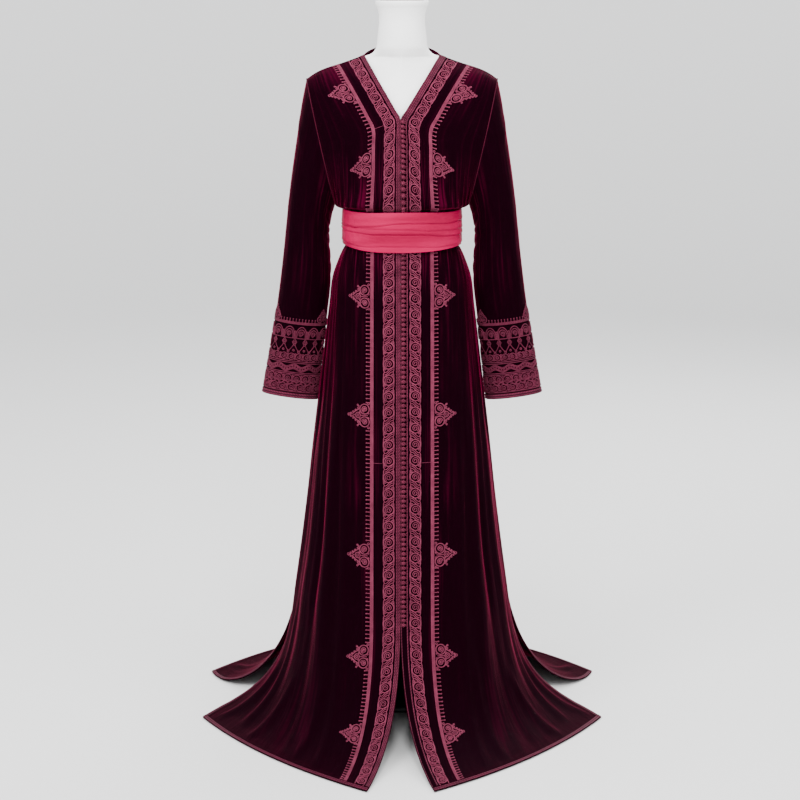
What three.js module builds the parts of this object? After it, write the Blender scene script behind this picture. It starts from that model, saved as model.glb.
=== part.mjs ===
// A long velvet caftan with couched-cord bands, worn by a limbless dress form.
//
// Frame: millimetres, +Z up, the front faces -Y, +X is the wearer's left side. The origin is the
// centre of the stand's underside. The garment is made of cloth walls: each panel is a grid of
// outer points with an inner wall one cloth thickness behind it. What lies on a panel is made from
// that panel's own points, moved out.
import * as THREE from 'three';

// ---------------------------------------------------------------- driving sizes
const CLOTH = 2.0;            // velvet with its facing
const SEAM_GAP = 0.3;         // clearance between neighbouring pieces
const TRIM_GAP = 0.4;         // clearance under what lies on a panel
const BRAID_HEIGHT = 1.2;     // edge braid
const BAND_HEIGHT = 1.4;      // couched scroll bands
const PALMETTE_HEIGHT = 1.5;
const BUTTON_LOW = 0.8;       // button column between two buttons
const BUTTON_HIGH = 3.0;      // button column over a button
const BUTTON_PITCH = 10.0;
const HEM_BRAID = 12.0;       // width of the braid on hems, slits and cuffs
const REST = 2.2;             // height of the cloth's upper face where it lies on the floor
const CLOSURE_X = -3.0;       // the centre front closure
const ROUNDNESS = 2.3;        // superellipse exponent of the body's level sections
const DENSE = 60;             // steps of the curve that a row is measured along

// Widths from a front's edge, across the cloth, of the bands that follow it.
const BAND = { braid: 12, scrollIn: 13, scrollOut: 37, outerIn: 57, outerOut: 75, palmette: 123 };
const BUTTON_LAP = 5;         // the wearer's left front is this much wider, under the buttons

// Sewn positions of the palmettes: distance along the outer band from the shoulder seam.
const PALMETTES = [
  { along: 96 }, { along: 259 }, { along: 557 }, { along: 807 }, { along: 1101 },
  { along: 1311 }, { along: 1484 },
];
const PALMETTE = { halfBase: 28, reach: 47, foot: 4, rows: 4 };

// Armhole: an ellipse in a leaning plane, from the shoulder tip to the underarm.
const ARMHOLE = { topX: 202, topZ: 1357, lowX: 143, lowZ: 1092, depth: 62 };

// Upper fronts, a row from the edge to the armhole. angle: place on the armhole, in degrees.
const FRONT_ROWS = [
  { edgeX: 80, edgeY: 0, edgeZ: 1408, angle: 0, flat: 1.0 },
  { edgeX: 66, edgeY: -34, edgeZ: 1386, angle: 18, flat: 1.3 },
  { edgeX: 50, edgeY: -62, edgeZ: 1360, angle: 36, flat: 1.6 },
  { edgeX: 30, edgeY: -86, edgeZ: 1328, angle: 56, flat: 1.9 },
  { edgeX: 11, edgeY: -102, edgeZ: 1297, angle: 76, flat: 2.1 },
  { edgeX: 0, edgeY: -110, edgeZ: 1279, angle: 92, flat: 2.2 },
  { edgeX: 0, edgeY: -117, edgeZ: 1235, angle: 112, flat: 2.4 },
  { edgeX: 0, edgeY: -119, edgeZ: 1185, angle: 134, flat: 2.8 },
  { edgeX: 0, edgeY: -118, edgeZ: 1135, angle: 156, flat: 3.6 },
  { edgeX: 0, edgeY: -114, edgeZ: 1099, angle: 180, flat: 5.0 },
];

// Upper back, a row from the centre back to the armhole, below the neckline and shoulders.
const BACK_ROWS = [
  { midY: 64, midZ: 1418, angle: 7, flat: 0.7, neck: 0.85 },
  { midY: 74, midZ: 1398, angle: 20, flat: 1.2, neck: 0.25 },
  { midY: 84, midZ: 1366, angle: 38, flat: 1.6, neck: 0 },
  { midY: 92, midZ: 1328, angle: 58, flat: 1.9, neck: 0 },
  { midY: 98, midZ: 1282, angle: 80, flat: 2.2, neck: 0 },
  { midY: 101, midZ: 1235, angle: 104, flat: 2.4, neck: 0 },
  { midY: 101, midZ: 1180, angle: 130, flat: 2.8, neck: 0 },
  { midY: 99, midZ: 1132, angle: 155, flat: 3.6, neck: 0 },
  { midY: 96, midZ: 1099, angle: 180, flat: 5.0, neck: 0 },
];
const NECKLINE = { halfX: 80, depth: 62, sideZ: 1408, backZ: 1430 };

// Level rings from the waist to the knee. swing: how far the folds have opened.
const RINGS = [
  { z: 1085, halfX: 121, front: 103.5, back: 95, swing: 0 },
  { z: 1064, halfX: 117, front: 100, back: 90, swing: 0 },
  { z: 1040, halfX: 116, front: 99, back: 89, swing: 0 },
  { z: 1014, halfX: 117, front: 100, back: 91, swing: 0 },
  { z: 998, halfX: 123, front: 104, back: 96, swing: 0.12 },
  { z: 974, halfX: 134, front: 113, back: 108, swing: 0.22 },
  { z: 945, halfX: 145, front: 121, back: 120, swing: 0.3 },
  { z: 880, halfX: 154, front: 135, back: 138, swing: 0.42 },
  { z: 790, halfX: 165, front: 154, back: 153, swing: 0.55 },
  { z: 690, halfX: 177, front: 176, back: 167, swing: 0.7 },
  { z: 580, halfX: 190, front: 201, back: 182, swing: 0.82 },
  { z: 470, halfX: 202, front: 227, back: 199, swing: 0.92 },
  { z: 360, halfX: 216, front: 254, back: 217, swing: 1.0 },
  { z: 260, halfX: 229, front: 283, back: 234, swing: 1.0 },
];
const KNEE = RINGS[RINGS.length - 1];

// The drape from the knee to the hem, as cubic curves. knee: first control ring; floor: second
// control points; hem: the hem line. x, y pairs run from the first edge to the side edge.
const FRONT_DRAPE = {
  knee: { halfX: 253, depth: -345, firstZ: 110, sideZ: 20 },
  floor: [{ x: 19, y: -440, z: 24 }, { x: 262, y: -318, z: REST }, { x: 345, y: 4, z: REST }],
  hem: [{ x: 66, y: -608, z: REST }, { x: 296, y: -438, z: REST }, { x: 430, y: -185, z: REST }],
};
const BACK_DRAPE = {
  knee: { halfX: 258, depth: 262, firstZ: 70, sideZ: 25 },
  floor: [{ x: 0, y: 335, z: REST }, { x: 280, y: 330, z: REST }, { x: 398, y: -22, z: REST }],
  hem: [{ x: 0, y: 425, z: REST }, { x: 230, y: 425, z: REST }, { x: 438, y: 121, z: REST }],
};
const DRAPE_STEPS = [
  { t: 0.12, swing: 0.95 }, { t: 0.25, swing: 0.85 }, { t: 0.38, swing: 0.7 },
  { t: 0.51, swing: 0.55 }, { t: 0.64, swing: 0.42 }, { t: 0.77, swing: 0.3 },
  { t: 0.89, swing: 0.15 }, { t: 0.976, swing: 0 }, { t: 1, swing: 0 },
];
const SLIT_ROW = FRONT_ROWS.length + RINGS.length - 1;   // the side slits open at the knee ring

// Folds of the skirt. at: place across the plain cloth, 0 to 1; drift: how far it moves by the hem.
const FRONT_COLUMNS = 9;
const FRONT_FOLDS = {
  right: [
    { at: 0.17, drift: 0.05, height: 11, spread: 0.085 }, { at: 0.46, drift: 0.04, height: 9, spread: 0.09 },
    { at: 0.76, drift: 0.02, height: 11, spread: 0.085 },
  ],
  left: [
    { at: 0.2, drift: 0.02, height: 10, spread: 0.085 }, { at: 0.52, drift: 0.03, height: 11, spread: 0.09 },
    { at: 0.8, drift: 0.0, height: 8, spread: 0.08 },
  ],
};
const BACK_COLUMNS = 20;
const BACK_FOLDS = [
  { at: 0.1, drift: 0, height: 9, spread: 0.035 }, { at: 0.21, drift: 0, height: 11, spread: 0.035 },
  { at: 0.335, drift: 0.01, height: 9, spread: 0.04 }, { at: 0.46, drift: 0, height: 13, spread: 0.04 },
  { at: 0.585, drift: 0, height: 11, spread: 0.035 }, { at: 0.7, drift: 0, height: 10, spread: 0.04 },
  { at: 0.81, drift: 0, height: 12, spread: 0.035 }, { at: 0.91, drift: 0, height: 8, spread: 0.03 },
];

// Sleeves: the outer and inner point of each section, its half depth and the place of its middle.
const SLEEVE_ROWS = [
  { outX: 202, outZ: 1357, inX: 143, inZ: 1092, depth: 62, y: 0 },
  { outX: 212, outZ: 1310, inX: 147, inZ: 1079, depth: 60, y: 0 },
  { outX: 220, outZ: 1258, inX: 151, inZ: 1064, depth: 58, y: -2 },
  { outX: 229, outZ: 1200, inX: 154, inZ: 1046, depth: 57, y: -4 },
  { outX: 238, outZ: 1138, inX: 155, inZ: 1024, depth: 56, y: -6 },
  { outX: 245, outZ: 1078, inX: 154, inZ: 996, depth: 55, y: -8 },
  { outX: 252, outZ: 1012, inX: 152, inZ: 962, depth: 54, y: -10 },
  { outX: 260, outZ: 945, inX: 154, inZ: 918, depth: 50, y: -12 },
  { outX: 270, outZ: 873, inX: 161, inZ: 860, depth: 44, y: -13 },
  { outX: 279, outZ: 820, inX: 167, inZ: 807, depth: 39, y: -14 },
  { outX: 290, outZ: 758, inX: 174.5, inZ: 744, depth: 34, y: -15 },
  { outX: 301, outZ: 698, inX: 181, inZ: 682, depth: 31, y: -16 },
  { outX: 303.5, outZ: 686, inX: 182.5, inZ: 670, depth: 30.5, y: -16 },
];
const SLEEVE_COLUMNS = 16;
const SLEEVE_CREASES = [
  { angle: 62, depth: 3.5, spread: 16 }, { angle: 118, depth: 2.5, spread: 15 },
  { angle: 238, depth: 3, spread: 16 }, { angle: 300, depth: 3, spread: 16 },
];
const CUFF_TOP_ROW = 8.25;    // the cuff's embroidery starts here and ends at its braid

// Sash: a wide soft band wound flat round the waist, in slanting folds.
const SASH = { low: 1001, high: 1083.5, halfX: 124.5, front: 109.5, back: 98, wall: 1.6, rows: 9, columns: 30 };
const SASH_FOLDS = [
  { leftZ: 0.47, rightZ: 0.66, depth: 1.6 }, { leftZ: 0.4, rightZ: 0.3, depth: 1.5 }, { leftZ: 0.12, rightZ: 0.2, depth: 1.2 },
];

// Dress form: sections of the torso and neck. round: superellipse exponent.
const FORM_ROWS = [
  { z: 770, halfX: 138, front: 98, back: 112, round: 2.2 },
  { z: 850, halfX: 140, front: 103, back: 116, round: 2.2 },
  { z: 925, halfX: 131, front: 97, back: 106, round: 2.2 },
  { z: 980, halfX: 117, front: 88, back: 90, round: 2.2 },
  { z: 1040, halfX: 107, front: 84, back: 77, round: 2.2 },
  { z: 1090, halfX: 111, front: 89, back: 80, round: 2.2 },
  { z: 1150, halfX: 132, front: 99, back: 84, round: 2.2 },
  { z: 1210, halfX: 150, front: 101, back: 86, round: 2.1 },
  { z: 1260, halfX: 163, front: 98, back: 86, round: 2.0 },
  { z: 1300, halfX: 174, front: 91, back: 83, round: 1.8 },
  { z: 1335, halfX: 182, front: 76, back: 76, round: 1.55 },
  { z: 1358, halfX: 186, front: 58, back: 60, round: 1.25 },
  { z: 1370, halfX: 164, front: 50, back: 50, round: 1.12 },
  { z: 1388, halfX: 121, front: 42, back: 42, round: 1.06 },
  { z: 1404, halfX: 82.6, front: 40, back: 42, round: 1.0 },
  { z: 1411, halfX: 64, front: 44, back: 46, round: 1.5 },
  { z: 1422, halfX: 55, front: 49, back: 50, round: 2 },
  { z: 1440, halfX: 52.5, front: 50, back: 50, round: 2 },
  { z: 1505, halfX: 52, front: 51, back: 51, round: 2 },
  { z: 1512, halfX: 55.5, front: 55, back: 55, round: 2 },
  { z: 1519, halfX: 56, front: 55.5, back: 55.5, round: 2 },
  { z: 1520, halfX: 55, front: 54.5, back: 54.5, round: 2 },
];
const FORM_COLUMNS = 26;
const NECK_CAP = { radius: 46, height: 7, rim: 3 };
const POLE = { radius: 15 };
const STAND = { radius: 150, height: 12, hub: 34, hubHeight: 40 };

// ---------------------------------------------------------------- helpers
const v3 = (x, y, z) => new THREE.Vector3(x, y, z);
const lerp = (a, b, t) => a + (b - a) * t;
const radians = (degrees) => degrees * Math.PI / 180;
const smooth = (t) => {
  const c = Math.min(1, Math.max(0, t));
  return c * c * (3 - 2 * c);
};

/** A solid between an outer and an inner grid of points; closed rows join their ends. */
function shell(outer, inner, closed = false) {
  const rows = outer.length;
  const columns = outer[0].length;
  const points = [...outer.flat(), ...inner.flat()];
  const offset = rows * columns;
  const index = (r, c) => r * columns + (c % columns);
  const faces = [];
  const quad = (a, b, c, d) => faces.push(a, b, c, a, c, d);
  const lastCell = closed ? columns : columns - 1;
  for (let r = 0; r < rows - 1; r += 1) {
    for (let c = 0; c < lastCell; c += 1) {
      quad(index(r, c), index(r, c + 1), index(r + 1, c + 1), index(r + 1, c));
      quad(
        offset + index(r, c), offset + index(r + 1, c),
        offset + index(r + 1, c + 1), offset + index(r, c + 1),
      );
    }
  }
  for (let c = 0; c < lastCell; c += 1) {
    quad(index(0, c), offset + index(0, c), offset + index(0, c + 1), index(0, c + 1));
    const r = rows - 1;
    quad(index(r, c), index(r, c + 1), offset + index(r, c + 1), offset + index(r, c));
  }
  for (let r = 0; r < rows - 1 && !closed; r += 1) {
    quad(index(r, 0), index(r + 1, 0), offset + index(r + 1, 0), offset + index(r, 0));
    const c = columns - 1;
    quad(index(r, c), offset + index(r, c), offset + index(r + 1, c), index(r + 1, c));
  }
  return outward(points, faces);
}

/** A geometry from points and triangles, turned so that its faces point out. */
function outward(points, faces) {
  let volume = 0;
  for (let i = 0; i < faces.length; i += 3) {
    const [a, b, c] = [points[faces[i]], points[faces[i + 1]], points[faces[i + 2]]];
    volume += a.dot(b.clone().cross(c));
  }
  if (volume < 0) {
    for (let i = 0; i < faces.length; i += 3) {
      [faces[i + 1], faces[i + 2]] = [faces[i + 2], faces[i + 1]];
    }
  }
  const geometry = new THREE.BufferGeometry();
  geometry.setAttribute('position', new THREE.Float32BufferAttribute(points.flatMap((p) => p.toArray()), 3));
  geometry.setIndex(faces);
  geometry.computeVertexNormals();
  return geometry;
}

/** A solid through closed level rings, with a flat cap at each end. */
function loft(rings) {
  const columns = rings[0].length;
  const points = rings.flat();
  const faces = [];
  for (let r = 0; r < rings.length - 1; r += 1) {
    for (let c = 0; c < columns; c += 1) {
      const next = (c + 1) % columns;
      const low = r * columns;
      faces.push(low + c, low + next, low + columns + next, low + c, low + columns + next, low + columns + c);
    }
  }
  const top = (rings.length - 1) * columns;
  for (let c = 1; c < columns - 1; c += 1) {
    faces.push(0, c + 1, c, top, top + c, top + c + 1);
  }
  return outward(points, faces);
}

/** A cloth surface: a grid of outer points with unit normals, read between its points too. */
class Sheet {
  constructor(grid, { closed = false, widths = null, outside = null } = {}) {
    this.grid = grid;
    this.closed = closed;
    this.widths = widths;
    this.normals = grid.map((row, r) => row.map((_, c) => this.slopeNormal(r, c)));
    const middle = [Math.floor(grid.length / 2), Math.floor(grid[0].length / 2)];
    if (outside && this.normals[middle[0]][middle[1]].dot(outside) < 0) {
      this.normals.forEach((row) => row.forEach((n) => n.negate()));
    }
  }

  /** The normal at a grid point, from its neighbours along and across. */
  slopeNormal(r, c) {
    const { grid, closed } = this;
    const columns = grid[0].length;
    const up = grid[Math.max(r - 1, 0)][c];
    const down = grid[Math.min(r + 1, grid.length - 1)][c];
    const before = grid[r][closed ? (c + columns - 1) % columns : Math.max(c - 1, 0)];
    const after = grid[r][closed ? (c + 1) % columns : Math.min(c + 1, columns - 1)];
    return after.clone().sub(before).cross(down.clone().sub(up)).normalize();
  }

  /** Moves every point along its normal by amount(row, column), then renews the normals. */
  swell(amount) {
    this.grid = this.grid.map((row, r) => row.map((p, c) => p.clone().addScaledVector(this.normals[r][c], amount(r, c))));
    const old = this.normals;
    this.normals = this.grid.map((row, r) => row.map((_, c) => {
      const fresh = this.slopeNormal(r, c);
      return fresh.dot(old[r][c]) < 0 ? fresh.negate() : fresh;
    }));
  }

  /** The cloth's solid wall. adjust(row, column, normal) may turn the wall's direction at a seam. */
  wall(thickness, adjust = (r, c, n) => n) {
    const inner = this.grid.map((row, r) => row.map((p, c) => {
      const normal = adjust(r, c, this.normals[r][c].clone());
      return p.clone().addScaledVector(normal, -thickness);
    }));
    return shell(this.grid, inner, this.closed);
  }

  /** Point and normal at a fractional row and column. */
  at(row, column) {
    const { grid, normals, closed } = this;
    const columns = grid[0].length;
    const r = Math.min(Math.floor(row), grid.length - 2);
    const c = closed ? Math.floor(column) : Math.min(Math.floor(column), columns - 2);
    const [u, v] = [column - c, row - r];
    const [c0, c1] = [c % columns, (c + 1) % columns];
    const mix = (field) => {
      const high = field[r][c0].clone().lerp(field[r][c1], u);
      return high.lerp(field[r + 1][c0].clone().lerp(field[r + 1][c1], u), v);
    };
    return { point: mix(grid), normal: mix(normals).normalize() };
  }

  /** The fractional column at a width from the first edge, in a fractional row. */
  columnAt(row, width) {
    const r = Math.min(Math.floor(row), this.grid.length - 2);
    const line = this.widths[r].map((w, c) => lerp(w, this.widths[r + 1][c], row - r));
    let c = 0;
    while (c < line.length - 2 && line[c + 1] < width) c += 1;
    return c + (width - line[c]) / (line[c + 1] - line[c]);
  }
}

/** A strip on a sheet, from places that spot(row, step) gives, between two heights. */
function raised(sheet, rows, steps, spot, base, height) {
  const lift = (amount) => rows.map((row) => steps.map((step) => {
    const { point, normal } = spot(row, step);
    return point.addScaledVector(normal, amount(row, step));
  }));
  const top = typeof height === 'function' ? height : () => height;
  return shell(lift((row, step) => base + top(row, step)), lift(() => base), sheet.closed);
}

/** The whole rows between two fractional rows, with the two ends. */
function rowsBetween(first, last, extra = []) {
  const rows = [first, last, ...extra];
  for (let r = Math.ceil(first + 0.01); r < last - 0.01; r += 1) rows.push(r);
  return [...new Set(rows)].filter((r) => r >= first && r <= last).sort((a, b) => a - b);
}

/** A quadratic Bezier point of three named points. */
function bezier2([a, b, c], t) {
  const weight = [(1 - t) ** 2, 2 * t * (1 - t), t * t];
  const sum = (key) => a[key] * weight[0] + b[key] * weight[1] + c[key] * weight[2];
  return v3(sum('x'), sum('y'), sum('z'));
}

/** A cubic Bezier point. */
function bezier3(points, t) {
  const weight = [(1 - t) ** 3, 3 * t * (1 - t) ** 2, 3 * t * t * (1 - t), t ** 3];
  return points.reduce((sum, p, i) => sum.addScaledVector(p, weight[i]), v3(0, 0, 0));
}

/** A quarter of a superellipse: s runs from the middle of the front or back to the side. */
function quarter(halfX, depth, z, s, exponent = ROUNDNESS) {
  const angle = s * Math.PI / 2;
  const x = halfX * Math.abs(Math.sin(angle)) ** (2 / exponent);
  const y = depth * Math.abs(Math.cos(angle)) ** (2 / exponent);
  return v3(x, y, z);
}

/** A point on the armhole seam and the direction that its pieces' edges face in its plane. */
function armhole(degrees, facing) {
  const angle = radians(degrees);
  const [halfX, halfZ] = [(ARMHOLE.topX - ARMHOLE.lowX) / 2, (ARMHOLE.topZ - ARMHOLE.lowZ) / 2];
  const long = Math.hypot(halfX, halfZ);
  const point = v3(
    ARMHOLE.lowX + halfX * (1 + Math.cos(angle)),
    facing * ARMHOLE.depth * Math.sin(angle),
    ARMHOLE.lowZ + halfZ * (1 + Math.cos(angle)),
  );
  const spread = Math.cos(angle) / long;
  const rim = v3(spread * halfX / long, facing * Math.sin(angle) / ARMHOLE.depth, spread * halfZ / long).normalize();
  const across = v3(halfZ / long, 0, -halfX / long);
  return { point, rim, across };
}

/** The plain cloth's fold height at a place across it, in a row with that much swing. */
function foldHeight(folds, place, row, rowCount, swing) {
  const fall = row / (rowCount - 1);
  const sum = folds.reduce((total, f) => {
    const d = (place - f.at - f.drift * fall) / f.spread;
    return total + f.height * Math.exp(-d * d);
  }, 0);
  return (sum - 4) * swing;
}

const swings = [
  ...FRONT_ROWS.map(() => 0), ...RINGS.map((r) => r.swing), ...DRAPE_STEPS.map((d) => d.swing),
];
const backSwings = [
  ...BACK_ROWS.map(() => 0), 0, ...RINGS.map((r) => r.swing), ...DRAPE_STEPS.map((d) => d.swing),
];

/** The drape from the knee ring to the hem at a place s from the first edge to the side. */
function drapePoint(drape, kneeDepth, s, t) {
  const knee = quarter(KNEE.halfX, kneeDepth, KNEE.z, s);
  const swell = quarter(drape.knee.halfX, drape.knee.depth, lerp(drape.knee.firstZ, drape.knee.sideZ, s), s);
  return bezier3([knee, swell, bezier2(drape.floor, s), bezier2(drape.hem, s)], t);
}

/** Measures a row's curve, then places its columns at the widths that layout(length) gives. */
function measuredRow(curve, layout) {
  const dense = Array.from({ length: DENSE + 1 }, (_, i) => curve(i / DENSE));
  const lengths = [0];
  for (let i = 1; i <= DENSE; i += 1) lengths.push(lengths[i - 1] + dense[i].distanceTo(dense[i - 1]));
  const widths = layout(lengths[DENSE]);
  const points = widths.map((width) => {
    let i = 1;
    while (i < DENSE && lengths[i] < width) i += 1;
    const t = (width - lengths[i - 1]) / (lengths[i] - lengths[i - 1]);
    return dense[i - 1].clone().lerp(dense[i], Math.min(1, Math.max(0, t)));
  });
  return { widths, points };
}

// ---------------------------------------------------------------- fronts
/** One front, from its edge to the armhole, side seam and side slit. side: -1 or +1. */
function frontSheet(side) {
  const lap = side > 0 ? BUTTON_LAP : 0;
  const curves = [];
  for (const row of FRONT_ROWS) {
    const seam = armhole(row.angle, -1);
    curves.push((s) => {
      const drop = s ** row.flat;
      return v3(
        lerp(row.edgeX, seam.point.x, s), lerp(row.edgeY, seam.point.y, drop), lerp(row.edgeZ, seam.point.z, s),
      );
    });
  }
  for (const ring of RINGS) curves.push((s) => quarter(ring.halfX, -ring.front, ring.z, s));
  for (const step of DRAPE_STEPS) curves.push((s) => drapePoint(FRONT_DRAPE, -KNEE.front, s, step.t));

  const rows = curves.map((curve, r) => measuredRow(curve, (length) => {
    const outer = BAND.outerOut + lap;
    const palmette = Math.min(BAND.palmette + lap, lerp(outer, length, 0.6));
    const fixed = [0, BAND.braid + lap / 5, BAND.scrollOut + lap, BAND.outerIn + lap, outer, palmette];
    const end = r >= SLIT_ROW ? length - HEM_BRAID : lerp(palmette, length, 1 - 1 / FRONT_COLUMNS);
    for (let c = 1; c < FRONT_COLUMNS; c += 1) fixed.push(lerp(palmette, end, c / (FRONT_COLUMNS - 1)));
    return [...fixed, length];
  }));
  const lastColumn = rows[0].points.length - 1;
  const half = SEAM_GAP / 2;
  const grid = rows.map(({ points }, r) => points.map((p, c) => {
    const place = p.clone();
    const shift = CLOSURE_X * (1 - c / lastColumn) * Math.min(1, r / 5);
    if (c === lastColumn) {
      if (r < FRONT_ROWS.length) place.addScaledVector(armhole(0, -1).across, -half);
      place.y -= half;
    } else if (r === 0) {
      place.y -= half;
    }
    place.x = side * (place.x + (c === 0 ? half : 0)) + shift;
    return place;
  }));
  const sheet = new Sheet(grid, { widths: rows.map((row) => row.widths), outside: v3(0, -1, 0) });
  const folds = side > 0 ? FRONT_FOLDS.left : FRONT_FOLDS.right;
  const plain = 5;
  sheet.swell((r, c) => {
    const place = (c - plain) / (lastColumn - plain);
    if (place <= 0 || place >= 1) return 0;
    const window = smooth(place / 0.12) * smooth((1 - place) / 0.14);
    const lying = r > SLIT_ROW + 5 ? 0.5 : 1;
    const height = foldHeight(folds, place, r, rows.length, swings[r]) * window;
    return r > SLIT_ROW ? Math.max(0, height) * lying : height;
  });
  return sheet;
}

/** The direction of a front's wall at its seams: in the plane of the seam. */
function frontSeam(sheet, side) {
  const last = sheet.grid[0].length - 1;
  return (r, c, normal) => {
    if (c === last && r > 0 && r < FRONT_ROWS.length - 1) {
      const { rim } = armhole(FRONT_ROWS[r].angle, -1);
      return v3(side * rim.x, rim.y, rim.z);
    }
    if (c === last && r === 0) return v3(side * armhole(0, -1).rim.x, 0, armhole(0, -1).rim.z);
    if (c === last && r <= SLIT_ROW) return normal.setY(0).normalize();
    if (c === 0 && r >= 5 && r <= SLIT_ROW) return normal.setX(0).normalize();
    if (r === 0) return v3(side * 0.386, 0, 0.922);
    return normal;
  };
}

// ---------------------------------------------------------------- back
/** The top row of the back: round the neck, then out along the shoulder seam. */
function neckAndShoulder(s) {
  const turn = 0.38;
  if (s < turn) {
    const angle = s / turn * Math.PI / 2;
    const rise = Math.cos(angle) ** 1.5;
    return v3(
      NECKLINE.halfX * Math.sin(angle), NECKLINE.depth * Math.cos(angle),
      lerp(NECKLINE.sideZ, NECKLINE.backZ, rise),
    );
  }
  const out = (s - turn) / (1 - turn);
  return v3(lerp(NECKLINE.halfX, ARMHOLE.topX, out), 0, lerp(NECKLINE.sideZ, ARMHOLE.topZ, out));
}

/** The whole back, from the wearer's right side to the left. */
function backSheet() {
  const halves = [neckAndShoulder];
  for (const row of BACK_ROWS) {
    const seam = armhole(row.angle, 1);
    halves.push((s) => {
      const plain = v3(
        lerp(0, seam.point.x, s), lerp(row.midY, seam.point.y, s ** row.flat), lerp(row.midZ, seam.point.z, s),
      );
      const high = neckAndShoulder(s);
      const low = seam.point.clone().sub(armhole(0, 1).point).multiplyScalar(s);
      const collar = high.add(low).add(v3(0, 0, (1 - s) * (row.midZ - NECKLINE.backZ)));
      return plain.lerp(collar, row.neck * (1 - s ** 3));
    });
  }
  for (const ring of RINGS) halves.push((s) => quarter(ring.halfX, ring.back, ring.z, s));
  for (const step of DRAPE_STEPS) halves.push((s) => drapePoint(BACK_DRAPE, KNEE.back, s, step.t));

  const slitRow = BACK_ROWS.length + RINGS.length;
  const halfCount = BACK_COLUMNS / 2;
  const half = SEAM_GAP / 2;
  const rows = halves.map((curve, r) => measuredRow(curve, (length) => {
    const end = r >= slitRow ? length - HEM_BRAID : length * (1 - 1 / halfCount);
    const list = [];
    for (let c = 0; c < halfCount; c += 1) list.push(end * c / (halfCount - 1));
    return [...list, length];
  }));
  const grid = rows.map(({ points }, r) => {
    const finish = (side) => points.map((p, c) => {
      const place = p.clone();
      if (c === halfCount && r <= BACK_ROWS.length) place.addScaledVector(armhole(0, 1).across, -half);
      if (c === halfCount || (r === 0 && place.y < half)) place.y += half;
      place.x *= side;
      return place;
    });
    return [...finish(-1).reverse(), ...finish(1).slice(1)];
  });
  const widths = rows.map((row) => {
    const length = row.widths[halfCount];
    return [...row.widths.map((w) => length - w).reverse(), ...row.widths.slice(1).map((w) => length + w)];
  });
  const sheet = new Sheet(grid, { widths, outside: v3(0, 1, 0) });
  const columns = grid[0].length - 1;
  sheet.swell((r, c) => {
    const place = c / columns;
    const window = smooth(place / 0.06) * smooth((1 - place) / 0.06);
    const height = foldHeight(BACK_FOLDS, place, r, grid.length, backSwings[r]) * window;
    return r > slitRow ? Math.max(0, height) * 0.7 : height;
  });
  return { sheet, slitRow };
}

/** The direction of the back's wall at its seams. */
function backSeam(sheet, slitRow) {
  const last = sheet.grid[0].length - 1;
  return (r, c, normal) => {
    const side = c === 0 ? -1 : 1;
    const end = c === 0 || c === last;
    if (end && r > 0 && r < BACK_ROWS.length) {
      const { rim } = armhole(BACK_ROWS[r - 1].angle, 1);
      return v3(side * rim.x, rim.y, rim.z);
    }
    if (end && r === 0) return v3(side * armhole(0, 1).rim.x, 0, armhole(0, 1).rim.z);
    if (end && r <= slitRow) return normal.setY(0).normalize();
    if (r === 0 && sheet.grid[0][c].y < 1) return v3(Math.sign(sheet.grid[0][c].x) * 0.386, 0, 0.922);
    return normal;
  };
}

// ---------------------------------------------------------------- sleeves
/** One sleeve, a tube of leaning sections from the armhole to the cuff. */
function sleeveSheet(side) {
  const grid = SLEEVE_ROWS.map((row, r) => Array.from({ length: SLEEVE_COLUMNS }, (_, c) => {
    const angle = 2 * Math.PI * c / SLEEVE_COLUMNS;
    const p = v3(
      lerp(row.inX, row.outX, (1 + Math.cos(angle)) / 2),
      row.y - row.depth * Math.sin(angle),
      lerp(row.inZ, row.outZ, (1 + Math.cos(angle)) / 2),
    );
    if (r === 0) p.addScaledVector(armhole(0, 1).across, SEAM_GAP / 2);
    p.x *= side;
    return p;
  }));
  const sheet = new Sheet(grid, { closed: true });
  const probe = sheet.normals[6][0];
  if (probe.x * side < 0) sheet.normals.forEach((row) => row.forEach((n) => n.negate()));
  sheet.swell((r, c) => {
    const degrees = 360 * c / SLEEVE_COLUMNS;
    const open = smooth(r / 4) * (1 - smooth((r - 6) / 2.5));
    return -open * SLEEVE_CREASES.reduce((sum, crease) => {
      const d = (degrees - crease.angle) / crease.spread;
      return sum + crease.depth * Math.exp(-d * d);
    }, 0);
  });
  return sheet;
}

/** The direction of a sleeve's wall at the armhole. */
function sleeveSeam(side) {
  return (r, c, normal) => {
    if (r > 0) return normal;
    const degrees = 360 * c / SLEEVE_COLUMNS;
    const { rim } = armhole(degrees <= 180 ? degrees : 360 - degrees, degrees <= 180 ? -1 : 1);
    return v3(side * rim.x, rim.y, rim.z);
  };
}

// ---------------------------------------------------------------- group and its pieces
const caftan = new THREE.Group();
const finish = (color, roughness, metalness = 0) => ({ color, roughness, metalness });
const VELVET = finish(0x3a0a22, 0.9);
const CORD = finish(0xa04468, 0.75);
const BRAID = finish(0x8c3a5c, 0.75);
const SATIN = finish(0xd63c6a, 0.45);
const FORM_WHITE = finish(0xf1efee, 0.5);
const CAP_WOOD = finish(0x4a3226, 0.5);
const STAND_METAL = finish(0x3a3a3c, 0.35, 0.8);

/** Adds one named piece. */
function add(name, geometry, look) {
  const mesh = new THREE.Mesh(geometry, new THREE.MeshStandardMaterial(look));
  mesh.name = name;
  caftan.add(mesh);
}

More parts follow.
